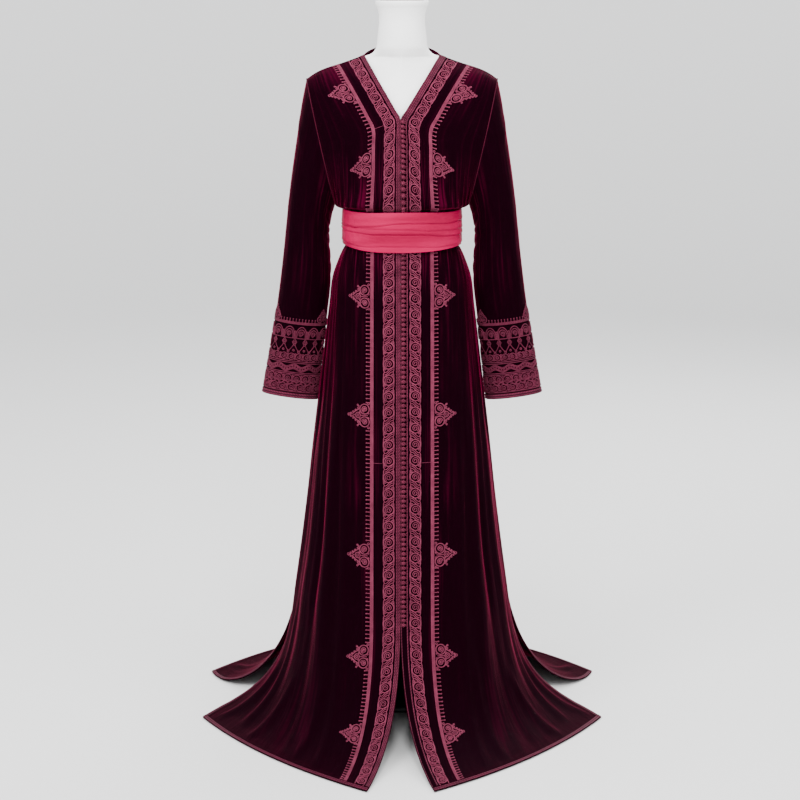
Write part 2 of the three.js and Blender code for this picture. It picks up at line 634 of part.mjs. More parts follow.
/** The trim that follows one front's edge: braid, scroll band, outer band, palmettes, hem, slit. */
function dressFront(sheet, side) {
  const name = side > 0 ? 'left' : 'right';
  const lap = side > 0 ? BUTTON_LAP : 0;
  const bottom = sheet.grid.length - 1;
  const last = sheet.grid[0].length - 1;
  const hemRow = bottom - 1;
  const across = (row, width) => sheet.at(row, sheet.columnAt(row, width));
  const along = rowsBetween(0.02, hemRow - 0.02);
  const strip = (label, widths, height, look) => {
    add(`${label}_${name}`, raised(sheet, along, widths, across, TRIM_GAP, height), look);
  };
  strip('edge_braid', [SEAM_GAP, BAND.braid + lap / 5 - SEAM_GAP], BRAID_HEIGHT, BRAID);
  strip('scroll_band', [BAND.scrollIn + lap, BAND.scrollOut + lap], BAND_HEIGHT, CORD);
  strip('outer_band', [BAND.outerIn + lap, BAND.outerOut + lap], BAND_HEIGHT, CORD);

  const hemColumns = Array.from({ length: last + 1 }, (_, c) => c);
  hemColumns[0] = 0.04;
  hemColumns[last] = last - 0.03;
  const byColumn = (row, column) => sheet.at(row, column);
  add(
    `hem_braid_front_${name}`,
    raised(sheet, [hemRow + 0.04, bottom - 0.03], hemColumns, byColumn, TRIM_GAP, BRAID_HEIGHT), BRAID,
  );
  add(
    `slit_braid_front_${name}`,
    raised(sheet, rowsBetween(SLIT_ROW + 0.1, hemRow - 0.02), [last - 0.96, last - 0.04], byColumn, TRIM_GAP, BRAID_HEIGHT),
    BRAID,
  );

  const track = [0];
  for (let r = 1; r <= bottom; r += 1) {
    const middle = (BAND.outerIn + BAND.outerOut) / 2 + lap;
    track.push(track[r - 1] + across(r, middle).point.distanceTo(across(r - 1, middle).point));
  }
  const rowAt = (distance) => {
    let r = 1;
    while (r < bottom && track[r] < distance) r += 1;
    return r - 1 + (distance - track[r - 1]) / (track[r] - track[r - 1]);
  };
  PALMETTES.forEach(({ along: centre }, i) => {
    const { halfBase, reach, foot, rows: count } = PALMETTE;
    const from = rowAt(centre - halfBase);
    const to = rowAt(centre + halfBase);
    const steps = Array.from({ length: count + 1 }, (_, k) => rowAt(centre + halfBase * (2 * k / count - 1)));
    const rows = rowsBetween(from, to, steps);
    const inner = BAND.outerOut + lap + SEAM_GAP;
    const spot = (row, share) => {
      const d = Math.abs(2 * (row - from) / (to - from) - 1);
      const out = foot + (reach - foot) * (1 - d) ** 0.9;
      return across(row, inner + out * share);
    };
    const geometry = raised(sheet, rows, [0, 0.5, 1], spot, TRIM_GAP + 0.5, PALMETTE_HEIGHT);
    add(`palmette_${name}_${i + 1}`, geometry, CORD);
  });
}

/** The column of buttons on the wearer's left front, from the neckline's point to the knee. */
function buttonColumn(sheet) {
  const edge = (row) => sheet.at(row, sheet.columnAt(row, BAND.braid / 2));
  const [first, last] = [5, SLIT_ROW + 0.35];
  const track = [{ row: first, distance: 0 }];
  for (const row of rowsBetween(first, last).slice(1)) {
    const before = track[track.length - 1];
    const step = edge(row).point.distanceTo(edge(before.row).point);
    track.push({ row, distance: before.distance + step });
  }
  const rowAt = (distance) => {
    let i = 1;
    while (i < track.length - 1 && track[i].distance < distance) i += 1;
    const [a, b] = [track[i - 1], track[i]];
    return lerp(a.row, b.row, (distance - a.distance) / (b.distance - a.distance));
  };
  const count = Math.floor(track[track.length - 1].distance / BUTTON_PITCH);
  const heights = new Map(track.map(({ row }) => [row, (BUTTON_LOW + BUTTON_HIGH) / 2]));
  for (let i = 0; i < count; i += 1) {
    heights.set(rowAt((i + 0.08) * BUTTON_PITCH), BUTTON_LOW);
    heights.set(rowAt((i + 0.54) * BUTTON_PITCH), BUTTON_HIGH);
  }
  const rows = [...heights.keys()].sort((a, b) => a - b);
  const spot = (row, width) => sheet.at(row, sheet.columnAt(row, width));
  const base = TRIM_GAP + BRAID_HEIGHT + SEAM_GAP;
  add('button_column', raised(sheet, rows, [1.2, BAND.braid - 0.4], spot, base, (row) => heights.get(row)), CORD);
}

/** The trim of the back: neckline, hem and slits. */
function dressBack({ sheet, slitRow }) {
  const bottom = sheet.grid.length - 1;
  const last = sheet.grid[0].length - 1;
  const byColumn = (row, column) => sheet.at(row, column);
  const neck = sheet.grid[0].map((p, c) => c).filter((c) => sheet.grid[0][c].y > 1);
  add('neck_braid_back', raised(sheet, [0.04, 0.8], neck, byColumn, TRIM_GAP, BRAID_HEIGHT), BRAID);
  const hem = Array.from({ length: last + 1 }, (_, c) => c);
  hem[0] = 0.03;
  hem[last] = last - 0.03;
  add('hem_braid_back', raised(sheet, [bottom - 0.96, bottom - 0.03], hem, byColumn, TRIM_GAP, BRAID_HEIGHT), BRAID);
  for (const [name, columns] of [['right', [0.04, 0.96]], ['left', [last - 0.96, last - 0.04]]]) {
    const rows = rowsBetween(slitRow + 0.1, bottom - 1.02);
    add(`slit_braid_back_${name}`, raised(sheet, rows, columns, byColumn, TRIM_GAP, BRAID_HEIGHT), BRAID);
  }
}

/** The trim of one sleeve: the embroidered cuff, its palmette and its braid. */
function dressSleeve(sheet, side) {
  const name = side > 0 ? 'left' : 'right';
  const bottom = SLEEVE_ROWS.length - 1;
  const columns = Array.from({ length: SLEEVE_COLUMNS }, (_, c) => c);
  const byColumn = (row, column) => sheet.at(row, column);
  const band = rowsBetween(CUFF_TOP_ROW, bottom - 1.02);
  add(`cuff_band_${name}`, raised(sheet, band, columns, byColumn, TRIM_GAP, BAND_HEIGHT), CORD);
  const edge = [bottom - 0.98, bottom - 0.02];
  add(`cuff_braid_${name}`, raised(sheet, edge, columns, byColumn, TRIM_GAP, BRAID_HEIGHT), BRAID);
}

/** The wound sash, one soft wall round the waist with its slanting folds. */
function sash() {
  const rows = Array.from({ length: SASH.rows }, (_, r) => r / (SASH.rows - 1));
  const ring = (t, lift) => Array.from({ length: SASH.columns }, (_, c) => {
    const angle = 2 * Math.PI * (c + 0.5) / SASH.columns;
    const across = Math.sin(angle);
    const depth = Math.cos(angle) > 0 ? SASH.back : SASH.front;
    const crease = SASH_FOLDS.reduce((sum, fold) => {
      const d = (t - lerp(fold.leftZ, fold.rightZ, (1 + across) / 2)) / 0.07;
      return sum - fold.depth * Math.exp(-d * d);
    }, 0);
    const edge = 1.2 * (1 - Math.abs(2 * t - 1) ** 6);
    const grow = lift ? SASH.wall + edge + 1.6 + crease : 0;
    const x = (SASH.halfX + grow) * Math.sign(across) * Math.abs(across) ** (2 / ROUNDNESS);
    const y = (depth + grow) * Math.sign(Math.cos(angle)) * Math.abs(Math.cos(angle)) ** (2 / ROUNDNESS);
    return v3(x, y, lerp(SASH.low, SASH.high, t));
  });
  add('sash', shell(rows.map((t) => ring(t, true)), rows.map((t) => ring(t, false)), true), SATIN);
}

/** The dress form: torso with neck, neck cap, pole and stand. */
function dressForm() {
  const section = (row) => Array.from({ length: FORM_COLUMNS }, (_, c) => {
    const angle = 2 * Math.PI * (c + 0.5) / FORM_COLUMNS;
    const [sin, cos] = [Math.sin(angle), Math.cos(angle)];
    const depth = cos > 0 ? row.back : row.front;
    return v3(
      row.halfX * Math.sign(sin) * Math.abs(sin) ** (2 / row.round),
      depth * Math.sign(cos) * Math.abs(cos) ** (2 / row.round),
      row.z,
    );
  });
  add('form_torso', loft(FORM_ROWS.map(section)), FORM_WHITE);
  const lathe = (profile, segments) => {
    const geometry = new THREE.LatheGeometry(profile.map(([r, z]) => new THREE.Vector2(r, z)), segments);
    return geometry.rotateX(Math.PI / 2);
  };
  const top = FORM_ROWS[FORM_ROWS.length - 1].z + SEAM_GAP;
  const cap = [
    [0, top], [NECK_CAP.radius, top], [NECK_CAP.radius, top + NECK_CAP.rim],
    [NECK_CAP.radius - 6, top + NECK_CAP.height], [0, top + NECK_CAP.height],
  ];
  add('form_neck_cap', lathe(cap, 28), CAP_WOOD);
  const bottom = FORM_ROWS[0].z - SEAM_GAP;
  const poleLow = STAND.hubHeight + SEAM_GAP;
  const pole = [[0, poleLow], [POLE.radius, poleLow], [POLE.radius, bottom], [0, bottom]];
  add('form_pole', lathe(pole, 16), STAND_METAL);
  const stand = [
    [0, 0], [STAND.radius, 0], [STAND.radius, STAND.height - 3], [STAND.radius - 5, STAND.height],
    [STAND.hub, STAND.height + 3], [STAND.hub - 12, STAND.hubHeight], [0, STAND.hubHeight],
  ];
  add('form_stand', lathe(stand, 32), STAND_METAL);
}

const sides = [{ side: -1, name: 'right' }, { side: 1, name: 'left' }];
for (const { side, name } of sides) {
  const sheet = frontSheet(side);
  add(`front_${name}`, sheet.wall(CLOTH, frontSeam(sheet, side)), VELVET);
  dressFront(sheet, side);
  if (side > 0) buttonColumn(sheet);
}
const back = backSheet();
add('back', back.sheet.wall(CLOTH, backSeam(back.sheet, back.slitRow)), VELVET);
dressBack(back);
for (const { side, name } of sides) {
  const sheet = sleeveSheet(side);
  add(`sleeve_${name}`, sheet.wall(CLOTH, sleeveSeam(side)), VELVET);
  dressSleeve(sheet, side);
}
sash();
dressForm();

export default caftan;
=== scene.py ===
"""A long velvet caftan with couched-cord embroidery, worn by a limbless dress form.

Every surface is a numpy grid: a row is a formula of the place across the cloth, rows are joined by
a spline, and what lies on a cloth is placed by its distance along and across that cloth. Sizes are
in millimetres here and become metres when a mesh is made. +Z is up, the front faces -Y and +X is the
wearer's left side.
"""
from __future__ import annotations

import logging
import math
from collections.abc import Callable
from dataclasses import dataclass, field
from enum import Enum

import bpy
import numpy as np
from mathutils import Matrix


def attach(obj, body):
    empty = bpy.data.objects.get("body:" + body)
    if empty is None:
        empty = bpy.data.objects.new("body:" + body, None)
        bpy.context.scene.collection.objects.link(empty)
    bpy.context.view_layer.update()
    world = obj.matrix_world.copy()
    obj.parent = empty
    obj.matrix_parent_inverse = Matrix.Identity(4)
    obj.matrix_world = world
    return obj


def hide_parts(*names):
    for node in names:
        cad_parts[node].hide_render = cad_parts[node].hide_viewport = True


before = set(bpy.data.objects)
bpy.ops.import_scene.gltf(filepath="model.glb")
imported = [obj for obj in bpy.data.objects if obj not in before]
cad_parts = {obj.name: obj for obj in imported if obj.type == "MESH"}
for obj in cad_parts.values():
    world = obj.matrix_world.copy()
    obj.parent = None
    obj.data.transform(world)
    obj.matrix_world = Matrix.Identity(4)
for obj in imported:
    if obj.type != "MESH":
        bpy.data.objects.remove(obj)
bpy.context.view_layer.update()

LOG = logging.getLogger("caftan")
Array = np.ndarray
Number = float | np.ndarray
Colour = tuple[float, float, float]
Spot = tuple[float, float, float]
Rings = tuple[tuple[float, float, float, int], ...]
Profile = tuple[tuple[float, float], ...]
Piece = bpy.types.Object

CLOTH = 2.0  # thickness of the velvet's wall
CLEAR = 0.2  # room between a shell's inner face and what is below it
REST = 2.2  # height of the cloth's upper face where it lies on the floor
CLOSURE_X = -3.0  # the centre front closure
ROUNDNESS = 2.3  # superellipse exponent of the body's level sections
HEM_BRAID = 12.0  # width of the braid on hems and slits
RELIEF = 1.3  # strength of the listed creases
FINE = 6  # pieces of the spline between two rows
METRE = 1000.0  # millimetres in a metre


class Side(Enum):
    """The wearer's side, with the sign of its X."""

    RIGHT = -1
    LEFT = 1

    @property
    def label(self) -> str:
        """The side's name in a node's name."""
        return self.name.lower()


# ------ arithmetic on arrays
def lerp(a: Number, b: Number, t: Number) -> Number:
    """The value a share t of the way from a to b."""
    return a + (b - a) * t


def smooth(t: Array) -> Array:
    """A rise from 0 to 1 that starts and ends level: three t squared minus two t cubed."""
    t = np.clip(t, 0, 1)
    return t * t * (3 - 2 * t)


def unit(v: Array) -> Array:
    """Vectors of length 1 in the same directions."""
    return v / np.maximum(np.linalg.norm(v, axis=-1, keepdims=True), 1e-9)


def bell(t: Array) -> Array:
    """A bell curve: e to the power of minus t squared."""
    return np.exp(-np.square(t))


def stack(x: Number, y: Number, z: Number) -> Array:
    """Points from three arrays that broadcast to one shape."""
    return np.stack(np.broadcast_arrays(x, y, z), -1).astype(float)


def refine(rows: Array, steps: int) -> Array:
    """Rows joined by a spline through them, with steps pieces between two rows.

    Formula: a cubic Hermite curve whose knots are the mean distances between rows, and whose slope
    at a row is the mean of its two neighbours' slopes, the nearer one counting more.

    Args:
        rows: values of shape (rows, columns, parts).
        steps: pieces between one row and the next.

    Returns:
        Values of shape ((rows - 1) * steps + 1, columns, parts).
    """
    gap = np.linalg.norm(np.diff(rows[..., :3], axis=0), axis=-1).mean(1)[:, None, None]
    gap = np.maximum(gap, 1e-6)
    slope = np.diff(rows, axis=0) / gap
    inner = (slope[:-1] * gap[1:] + slope[1:] * gap[:-1]) / (gap[1:] + gap[:-1])
    tangent = np.concatenate([slope[:1], inner, slope[-1:]])
    t = (np.arange(steps) / steps)[None, :, None, None]
    a, b = rows[:-1, None], rows[1:, None]
    ma, mb = (tangent[:-1] * gap)[:, None], (tangent[1:] * gap)[:, None]
    curve = (
        a * (2 * t**3 - 3 * t**2 + 1) + ma * (t**3 - 2 * t**2 + t)
        + b * (3 * t**2 - 2 * t**3) + mb * (t**3 - t**2)
    )
    return np.concatenate([curve.reshape(-1, *rows.shape[1:]), rows[-1:]])


def between(values: Array, steps: int) -> Array:
    """Values at whole rows spread linearly over the refined rows; the last axis is kept whole.

    Args:
        values: a row of values for each whole row.
        steps: pieces between two rows.

    Returns:
        A row of values for each refined row.
    """
    count = len(values)
    place = np.linspace(0, count - 1, (count - 1) * steps + 1)
    low = np.minimum(place.astype(int), count - 2)
    share = (place - low).reshape(-1, *[1] * (values.ndim - 1))
    return values[low] * (1 - share) + values[low + 1] * share


def slope_normals(grid: Array, towards: Array, closed: bool = False) -> Array:
    """Unit normals of a grid: the cross product of its two slopes, on the side of towards.

    Args:
        grid: points of shape (rows, columns, 3).
        towards: a direction that the middle point's normal has to agree with.
        closed: whether the last column joins the first.

    Returns:
        Unit normals of the grid's shape.
    """
    if closed:
        ring = np.concatenate([grid[:, -1:], grid, grid[:, :1]], axis=1)
        across = (ring[:, 2:] - ring[:, :-2]) / 2
    else:
        across = np.gradient(grid, axis=1)
    normals = unit(np.cross(across, np.gradient(grid, axis=0)))
    middle = normals[grid.shape[0] // 2, 0 if closed else grid.shape[1] // 2]
    return normals if middle @ towards > 0 else -normals


def lengths_along(points: Array, axis: int) -> Array:
    """The distance run along one axis of a grid of points, from 0 at its start.

    Args:
        points: the grid, of shape (rows, columns, 3) or (rows, 3).
        axis: the axis.

    Returns:
        The distances, without the last axis.
    """
    step = np.linalg.norm(np.diff(points, axis=axis), axis=-1)
    start = np.zeros_like(np.take(step, [0], axis))
    return np.concatenate([start, np.cumsum(step, axis=axis)], axis)


def joined(grid: Array, closed: bool = True) -> Array:
    """A grid of points whose first column comes again at its end, if it is closed."""
    return np.concatenate([grid, grid[:, :1]], 1) if closed else grid


def flat_size(grid: Array) -> tuple[float, float, float]:
    """What a face measures when it is laid flat: its longest row and column, and its cells' areas.

    Args:
        grid: points of shape (rows, columns, 3), in millimetres.

    Returns:
        The width, the length and the area, in metres.
    """
    width = lengths_along(grid, 1)[:, -1].max() / METRE
    length = lengths_along(grid, 0)[-1].max() / METRE
    cross = np.cross(np.diff(grid, axis=1)[:-1], np.diff(grid, axis=0)[:, :-1])
    return width, length, min(np.linalg.norm(cross, axis=-1).sum() / METRE**2, width * length)


# ------ meshes
class Form:
    """Closed surfaces that are gathered into one mesh, with their faces turned outwards."""

    def __init__(self) -> None:
        """Starts an empty form."""
        self.points: list[Array] = []
        self.faces: list[tuple[Array, Array]] = []
        self.count = 0

    def add(self, points: Array, groups: list[tuple[Array, Array]]) -> None:
        """Adds one closed surface.

        Args:
            points: its points, of shape (n, 3), in millimetres.
            groups: faces of one size each, as corner numbers (f, k) with UVs (f, k, 2).
        """
        volume = 0.0
        for corners, _ in groups:
            fan = points[corners]
            for k in range(1, corners.shape[1] - 1):
                volume += np.einsum("ij,ij->", fan[:, 0], np.cross(fan[:, k], fan[:, k + 1]))
        for corners, uv in groups:
            if volume < 0:
                corners, uv = corners[:, ::-1], uv[:, ::-1]
            self.faces.append((corners + self.count, uv))
        self.points.append(points)
        self.count += len(points)

    def shell(self, outer: Array, inner: Array, uv: Array, closed: bool = False) -> None:
        """A wall between two grids of points, with its rims.

        Args:
            outer: the outer grid, of shape (rows, columns, 3).
            inner: the inner grid, of the same shape.
            uv: UVs of the grid; a closed one has one column more.
            closed: whether the last column joins the first.
        """
        rows, columns = outer.shape[:2]
        wide = columns + 1 if closed else columns
        index = np.arange(rows * columns).reshape(rows, columns)
        index = joined(index, closed)
        half = rows * columns

        def quads(a: Array, b: Array, c: Array, d: Array) -> Array:
            """Corner numbers of quads."""
            return np.stack([a, b, c, d], -1).reshape(-1, 4)

        flat = uv[:, :wide]
        cell = (index[:-1, :-1], index[:-1, 1:], index[1:, 1:], index[1:, :-1])
        cell_uv = np.stack([flat[:-1, :-1], flat[:-1, 1:], flat[1:, 1:], flat[1:, :-1]], -2).reshape(-1, 4, 2)
        groups = [(quads(*cell), cell_uv), (quads(*cell)[:, ::-1] + half, cell_uv[:, ::-1])]
        rims = [(index[0], flat[0], 1), (index[-1], flat[-1], -1)]
        if not closed:
            rims += [(index[:, 0], flat[:, 0], -1), (index[:, -1], flat[:, -1], 1)]
        for line, line_uv, turn in rims:
            rim = quads(line[:-1], line[:-1] + half, line[1:] + half, line[1:])
            rim_uv = np.stack([line_uv[:-1], line_uv[:-1], line_uv[1:], line_uv[1:]], -2)
            groups.append((rim[:, ::turn], rim_uv[:, ::turn]))
        self.add(np.concatenate([outer.reshape(-1, 3), inner.reshape(-1, 3)]), groups)

    def tubes(self, paths: Array, normals: Array, radius: float, sides: int = 6, closed: bool = False) -> None:
        """Round cords along many paths: each path point carries a ring across the path.

        Args:
            paths: centre lines of shape (paths, points, 3).
            normals: the cloth's normals there.
            radius: the cord's radius, or an array of one for each path point.
            sides: corners of a ring.
            closed: whether a path's last point joins its first.
        """
        count, n = paths.shape[:2]
        if closed:
            tangent = np.roll(paths, -1, 1) - np.roll(paths, 1, 1)
        else:
            tangent = np.gradient(paths, axis=1)
        across = unit(np.cross(tangent, normals))
        up = unit(np.cross(across, tangent))
        turn = 2 * np.pi * (np.arange(sides) + 0.5) / sides
        size = np.broadcast_to(np.asarray(radius, float), (count, n))[..., None, None]
        ring = np.cos(turn)[:, None] * across[:, :, None] + np.sin(turn)[:, None] * up[:, :, None]
        points = paths[:, :, None] + size * ring
        index = np.arange(count * n * sides).reshape(count, n, sides)
        index = np.concatenate([index, index[..., :1]], 2)
        run = lengths_along(paths, 1)[..., None]
        uv = stack(run, np.arange(sides + 1) / sides, 0)[..., :2]
        if closed:
            index = np.concatenate([index, index[:, :1]], 1)
            last = run[:, -1:] + np.linalg.norm(paths[:, :1] - paths[:, -1:], axis=-1)[..., None]
            uv = np.concatenate([uv, stack(last, np.arange(sides + 1) / sides, 0)[..., :2]], 1)

        def cells(a: Array) -> Array:
            """The four corners of every cell."""
            parts = [a[:, :-1, :-1], a[:, :-1, 1:], a[:, 1:, 1:], a[:, 1:, :-1]]
            return np.stack(parts, 3)

        groups = [(cells(index).reshape(-1, 4), cells(uv).reshape(-1, 4, 2))]
        if not closed:
            ends = np.concatenate([index[:, 0, :-1][:, ::-1], index[:, -1, :-1]])
            groups.append((ends, np.concatenate([uv[:, 0, :-1][:, ::-1], uv[:, -1, :-1]])))
        self.add(points.reshape(-1, 3), groups)

    def knots(self, centres: Array, normals: Array, along: Array, radius: float, squash: float = 0.8) -> None:
        """Small knots: rings of latitude round each normal, joined as tubes that end in points.

        Args:
            centres: the knots' centres, of shape (n, 3).
            normals: the cloth's normals there.
            along: directions along the cloth there.
            radius: a knot's radius.
            squash: its height over its width.
        """
        lift = np.linspace(-1, 1, 5) * 0.96
        rings = np.sqrt(1 - lift**2) * radius
        paths = centres[:, None] + normals[:, None] * (lift * radius * squash)[None, :, None]
        self.tubes(paths, np.broadcast_to(along[:, None], paths.shape), rings[None], 7)

    def build(self, name: str, finish: Finish, node: str | list[str]) -> Piece:
        """Makes the mesh object, gives it its finish and lets it stand for its CAD nodes.

        Args:
            name: the object's name.
            finish: its finish.
            node: the CAD node or nodes it stands for, or an empty list.

        Returns:
            The new object, which rides on the root body.
        """
        points = np.concatenate(self.points) / METRE
        loops = np.concatenate([corners.ravel() for corners, _ in self.faces])
        sizes = np.concatenate([np.full(len(corners), corners.shape[1]) for corners, _ in self.faces])
        mesh = bpy.data.meshes.new(name)
        mesh.vertices.add(len(points))
        mesh.vertices.foreach_set("co", points.astype(np.float32).ravel())
        mesh.loops.add(len(loops))
        mesh.loops.foreach_set("vertex_index", loops.astype(np.int32))
        mesh.polygons.add(len(sizes))
        mesh.polygons.foreach_set("loop_start", (np.cumsum(sizes) - sizes).astype(np.int32))
        mesh.update(calc_edges=True)
        uv = np.concatenate([values.reshape(-1, 2) for _, values in self.faces]) / METRE
        layer = mesh.uv_layers.new(name="UVMap")
        layer.data.foreach_set("uv", uv.astype(np.float32).ravel())
        mesh.shade_smooth()
        mesh.set_sharp_from_angle(angle=math.radians(60))
        mesh.materials.append(finish.material())
        piece = bpy.data.objects.new(name, mesh)
        bpy.context.scene.collection.objects.link(piece)
        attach(piece, "root")
        nodes = [node] if isinstance(node, str) else node
        if nodes:
            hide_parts(*nodes)
        LOG.info("%s: %d triangles", name, int((sizes - 2).sum()))
        return piece


class Field:
    """A cloth face that is read by the distance along it, the distance across it and a height."""

    def __init__(self, points: Array, normals: Array, along: Array, across: Array, closed: bool = False) -> None:
        """Keeps the grid.

        Args:
            points: grid of shape (along, across, 3).
            normals: unit normals of the grid.
            along: rising distances of the grid's rows.
            across: rising distances of its columns.
            closed: whether the last column is the first one again.
        """
        self.values = np.concatenate([points, normals], -1)
        self.along, self.across, self.closed = along, across, closed

    def place(self, along: Array, across: Array, height: Number = 0.0) -> tuple[Array, Array]:
        """Points and normals: the grid is read between its points, then moved along the normal.

        Args:
            along: distances along the cloth.
            across: distances across it, of the same shape.
            height: distance off the cloth.

        Returns:
            The points and the normals.
        """
        along, across = np.broadcast_arrays(np.asarray(along, float), np.asarray(across, float))
        r = np.clip(np.searchsorted(self.along, along) - 1, 0, len(self.along) - 2)
        v = np.clip((along - self.along[r]) / (self.along[r + 1] - self.along[r]), 0, 1)[..., None]
        across = across % self.across[-1] if self.closed else across
        step = np.interp(across, self.across, np.arange(len(self.across)))
        c = np.clip(step.astype(int), 0, len(self.across) - 2)
        u = np.clip(step - c, 0, 1)[..., None]
        grid = self.values
        low = grid[r, c] * (1 - u) + grid[r, c + 1] * u
        high = grid[r + 1, c] * (1 - u) + grid[r + 1, c + 1] * u
        mixed = low * (1 - v) + high * v
        normals = unit(mixed[..., 3:])
        return mixed[..., :3] + normals * np.asarray(height, float)[..., None], normals


# ------ finishes
def arithmetic(operation: str, swapped: bool = False) -> Callable[[Sock, Sock | float], Sock]:
    """An operator of a socket that adds one Math node.

    Args:
        operation: the node's operation.
        swapped: whether the socket is the operation's second value.

    Returns:
        The operator, a function of the socket and the other value.
    """

    def apply(self: Sock, other: Sock | float) -> Sock:
        """The operation on the socket and the other value."""
        pair = (other, self) if swapped else (self, other)
        return self.graph.node("ShaderNodeMath", {"operation": operation}, dict(enumerate(pair)))

    return apply


class Sock:
    """A socket of a material's nodes; arithmetic on it adds Math nodes."""

    def __init__(self, graph: Graph, link: bpy.types.NodeSocket) -> None:
        """Keeps the graph and the output socket."""
        self.graph, self.link = graph, link

    __add__ = __radd__ = arithmetic("ADD")
    __sub__ = arithmetic("SUBTRACT")
    __rsub__ = arithmetic("SUBTRACT", True)
    __mul__ = __rmul__ = arithmetic("MULTIPLY")
    __truediv__ = arithmetic("DIVIDE")
    __rtruediv__ = arithmetic("DIVIDE", True)
    __pow__ = arithmetic("POWER")

    def sine(self) -> Sock:
        """The sine."""
        return self.graph.node("ShaderNodeMath", {"operation": "SINE"}, {0: self})

    def clamp(self) -> Sock:
        """The value kept from 0 to 1."""
        return self.graph.node("ShaderNodeClamp", {}, {"Value": self})


class Graph:
    """The nodes of one material."""

    def __init__(self, name: str) -> None:
        """Makes a material with an empty node tree.

        Args:
            name: the material's name.
        """
        self.material = bpy.data.materials.new(name)
        self.material.use_nodes = True
        self.tree = self.material.node_tree
        self.tree.nodes.clear()

    def raw(self, kind: str, settings: dict, inputs: dict) -> bpy.types.Node:
        """Adds a node.

        Args:
            kind: the node's type.
            settings: its settings, set first.
            inputs: values or links of its sockets, by name or number.

        Returns:
            The node.
        """
        node = self.tree.nodes.new(kind)
        for key, value in settings.items():
            setattr(node, key, value)
        for key, value in inputs.items():
            if isinstance(value, Sock):
                self.tree.links.new(value.link, node.inputs[key])
            else:
                node.inputs[key].default_value = value
        return node

    def node(self, kind: str, settings: dict, inputs: dict, output: int | str = 0) -> Sock:
        """Adds a node as raw does, and gives one of its outputs."""
        return Sock(self, self.raw(kind, settings, inputs).outputs[output])

    def place(self) -> Sock:
        """Object coordinates, in metres."""
        return self.node("ShaderNodeTexCoord", {}, {}, "Object")

    def cloth(self) -> Sock:
        """The UV distances across and along the cloth, in metres."""
        return self.node("ShaderNodeUVMap", {"uv_map": "UVMap"}, {})

    def scaled(self, vector: Sock, scale: Spot) -> Sock:
        """Coordinates with each axis scaled."""
        return self.node("ShaderNodeMapping", {}, {"Vector": vector, "Scale": scale})

    def parts(self, vector: Sock) -> list[Sock]:
        """A vector's three parts."""
        return [Sock(self, part) for part in self.raw("ShaderNodeSeparateXYZ", {}, {0: vector}).outputs]

    def noise(self, vector: Sock, scale: float, detail: float = 2.0) -> Sock:
        """A soft noise from 0 to 1."""
        inputs = {"Vector": vector, "Scale": scale, "Detail": detail}
        return self.node("ShaderNodeTexNoise", {}, inputs)

    def band(self, value: Sock, low: float, high: float) -> Sock:
        """0 below low, 1 above high and a soft rise between."""
        inputs = {"Value": value, 1: low, 2: high}
        return self.node("ShaderNodeMapRange", {"interpolation_type": "SMOOTHSTEP"}, inputs)

    def mix(self, share: Sock, a: Colour, b: Colour) -> Sock:
        """Colour a where share is 0 and b where it is 1."""
        inputs = {0: share, 6: (*a, 1), 7: (*b, 1)}
        return self.node("ShaderNodeMix", {"data_type": "RGBA"}, inputs, 2)

    def bump(self, height: Sock, distance: float, strength: float, under: Sock | None = None) -> Sock:
        """A normal from a height.

        Args:
            height: the height, from 0 to 1.
            distance: the height of 1, in metres.
            strength: its share.
            under: a normal that it lies on.

        Returns:
            The normal.
        """
        inputs = {"Height": height, "Distance": distance, "Strength": strength}
        return self.node("ShaderNodeBump", {}, inputs if under is None else {**inputs, "Normal": under})

    def close(self, inputs: dict) -> bpy.types.Material:
        """Adds the Principled shader and the output.

        Args:
            inputs: the shader's values and links, by name.

        Returns:
            The material.
        """
        shader = self.node("ShaderNodeBsdfPrincipled", {}, inputs)
        self.raw("ShaderNodeOutputMaterial", {}, {0: shader})
        return self.material


@dataclass(frozen=True)
class Finish:
    """A finish of the caftan or its form.

    Attributes:
        name: the material's name.
        slot: the record's material slot; not used.
        dark: colour in the hollows.
        light: colour on the high places.
    """

    name: str
    slot: str
    dark: Colour
    light: Colour

    def material(self) -> bpy.types.Material:
        """The material, made once."""
        return bpy.data.materials.get(self.name) or self.make(Graph(self.name))

    def make(self, graph: Graph) -> bpy.types.Material:
        """Builds the nodes."""
        raise NotImplementedError


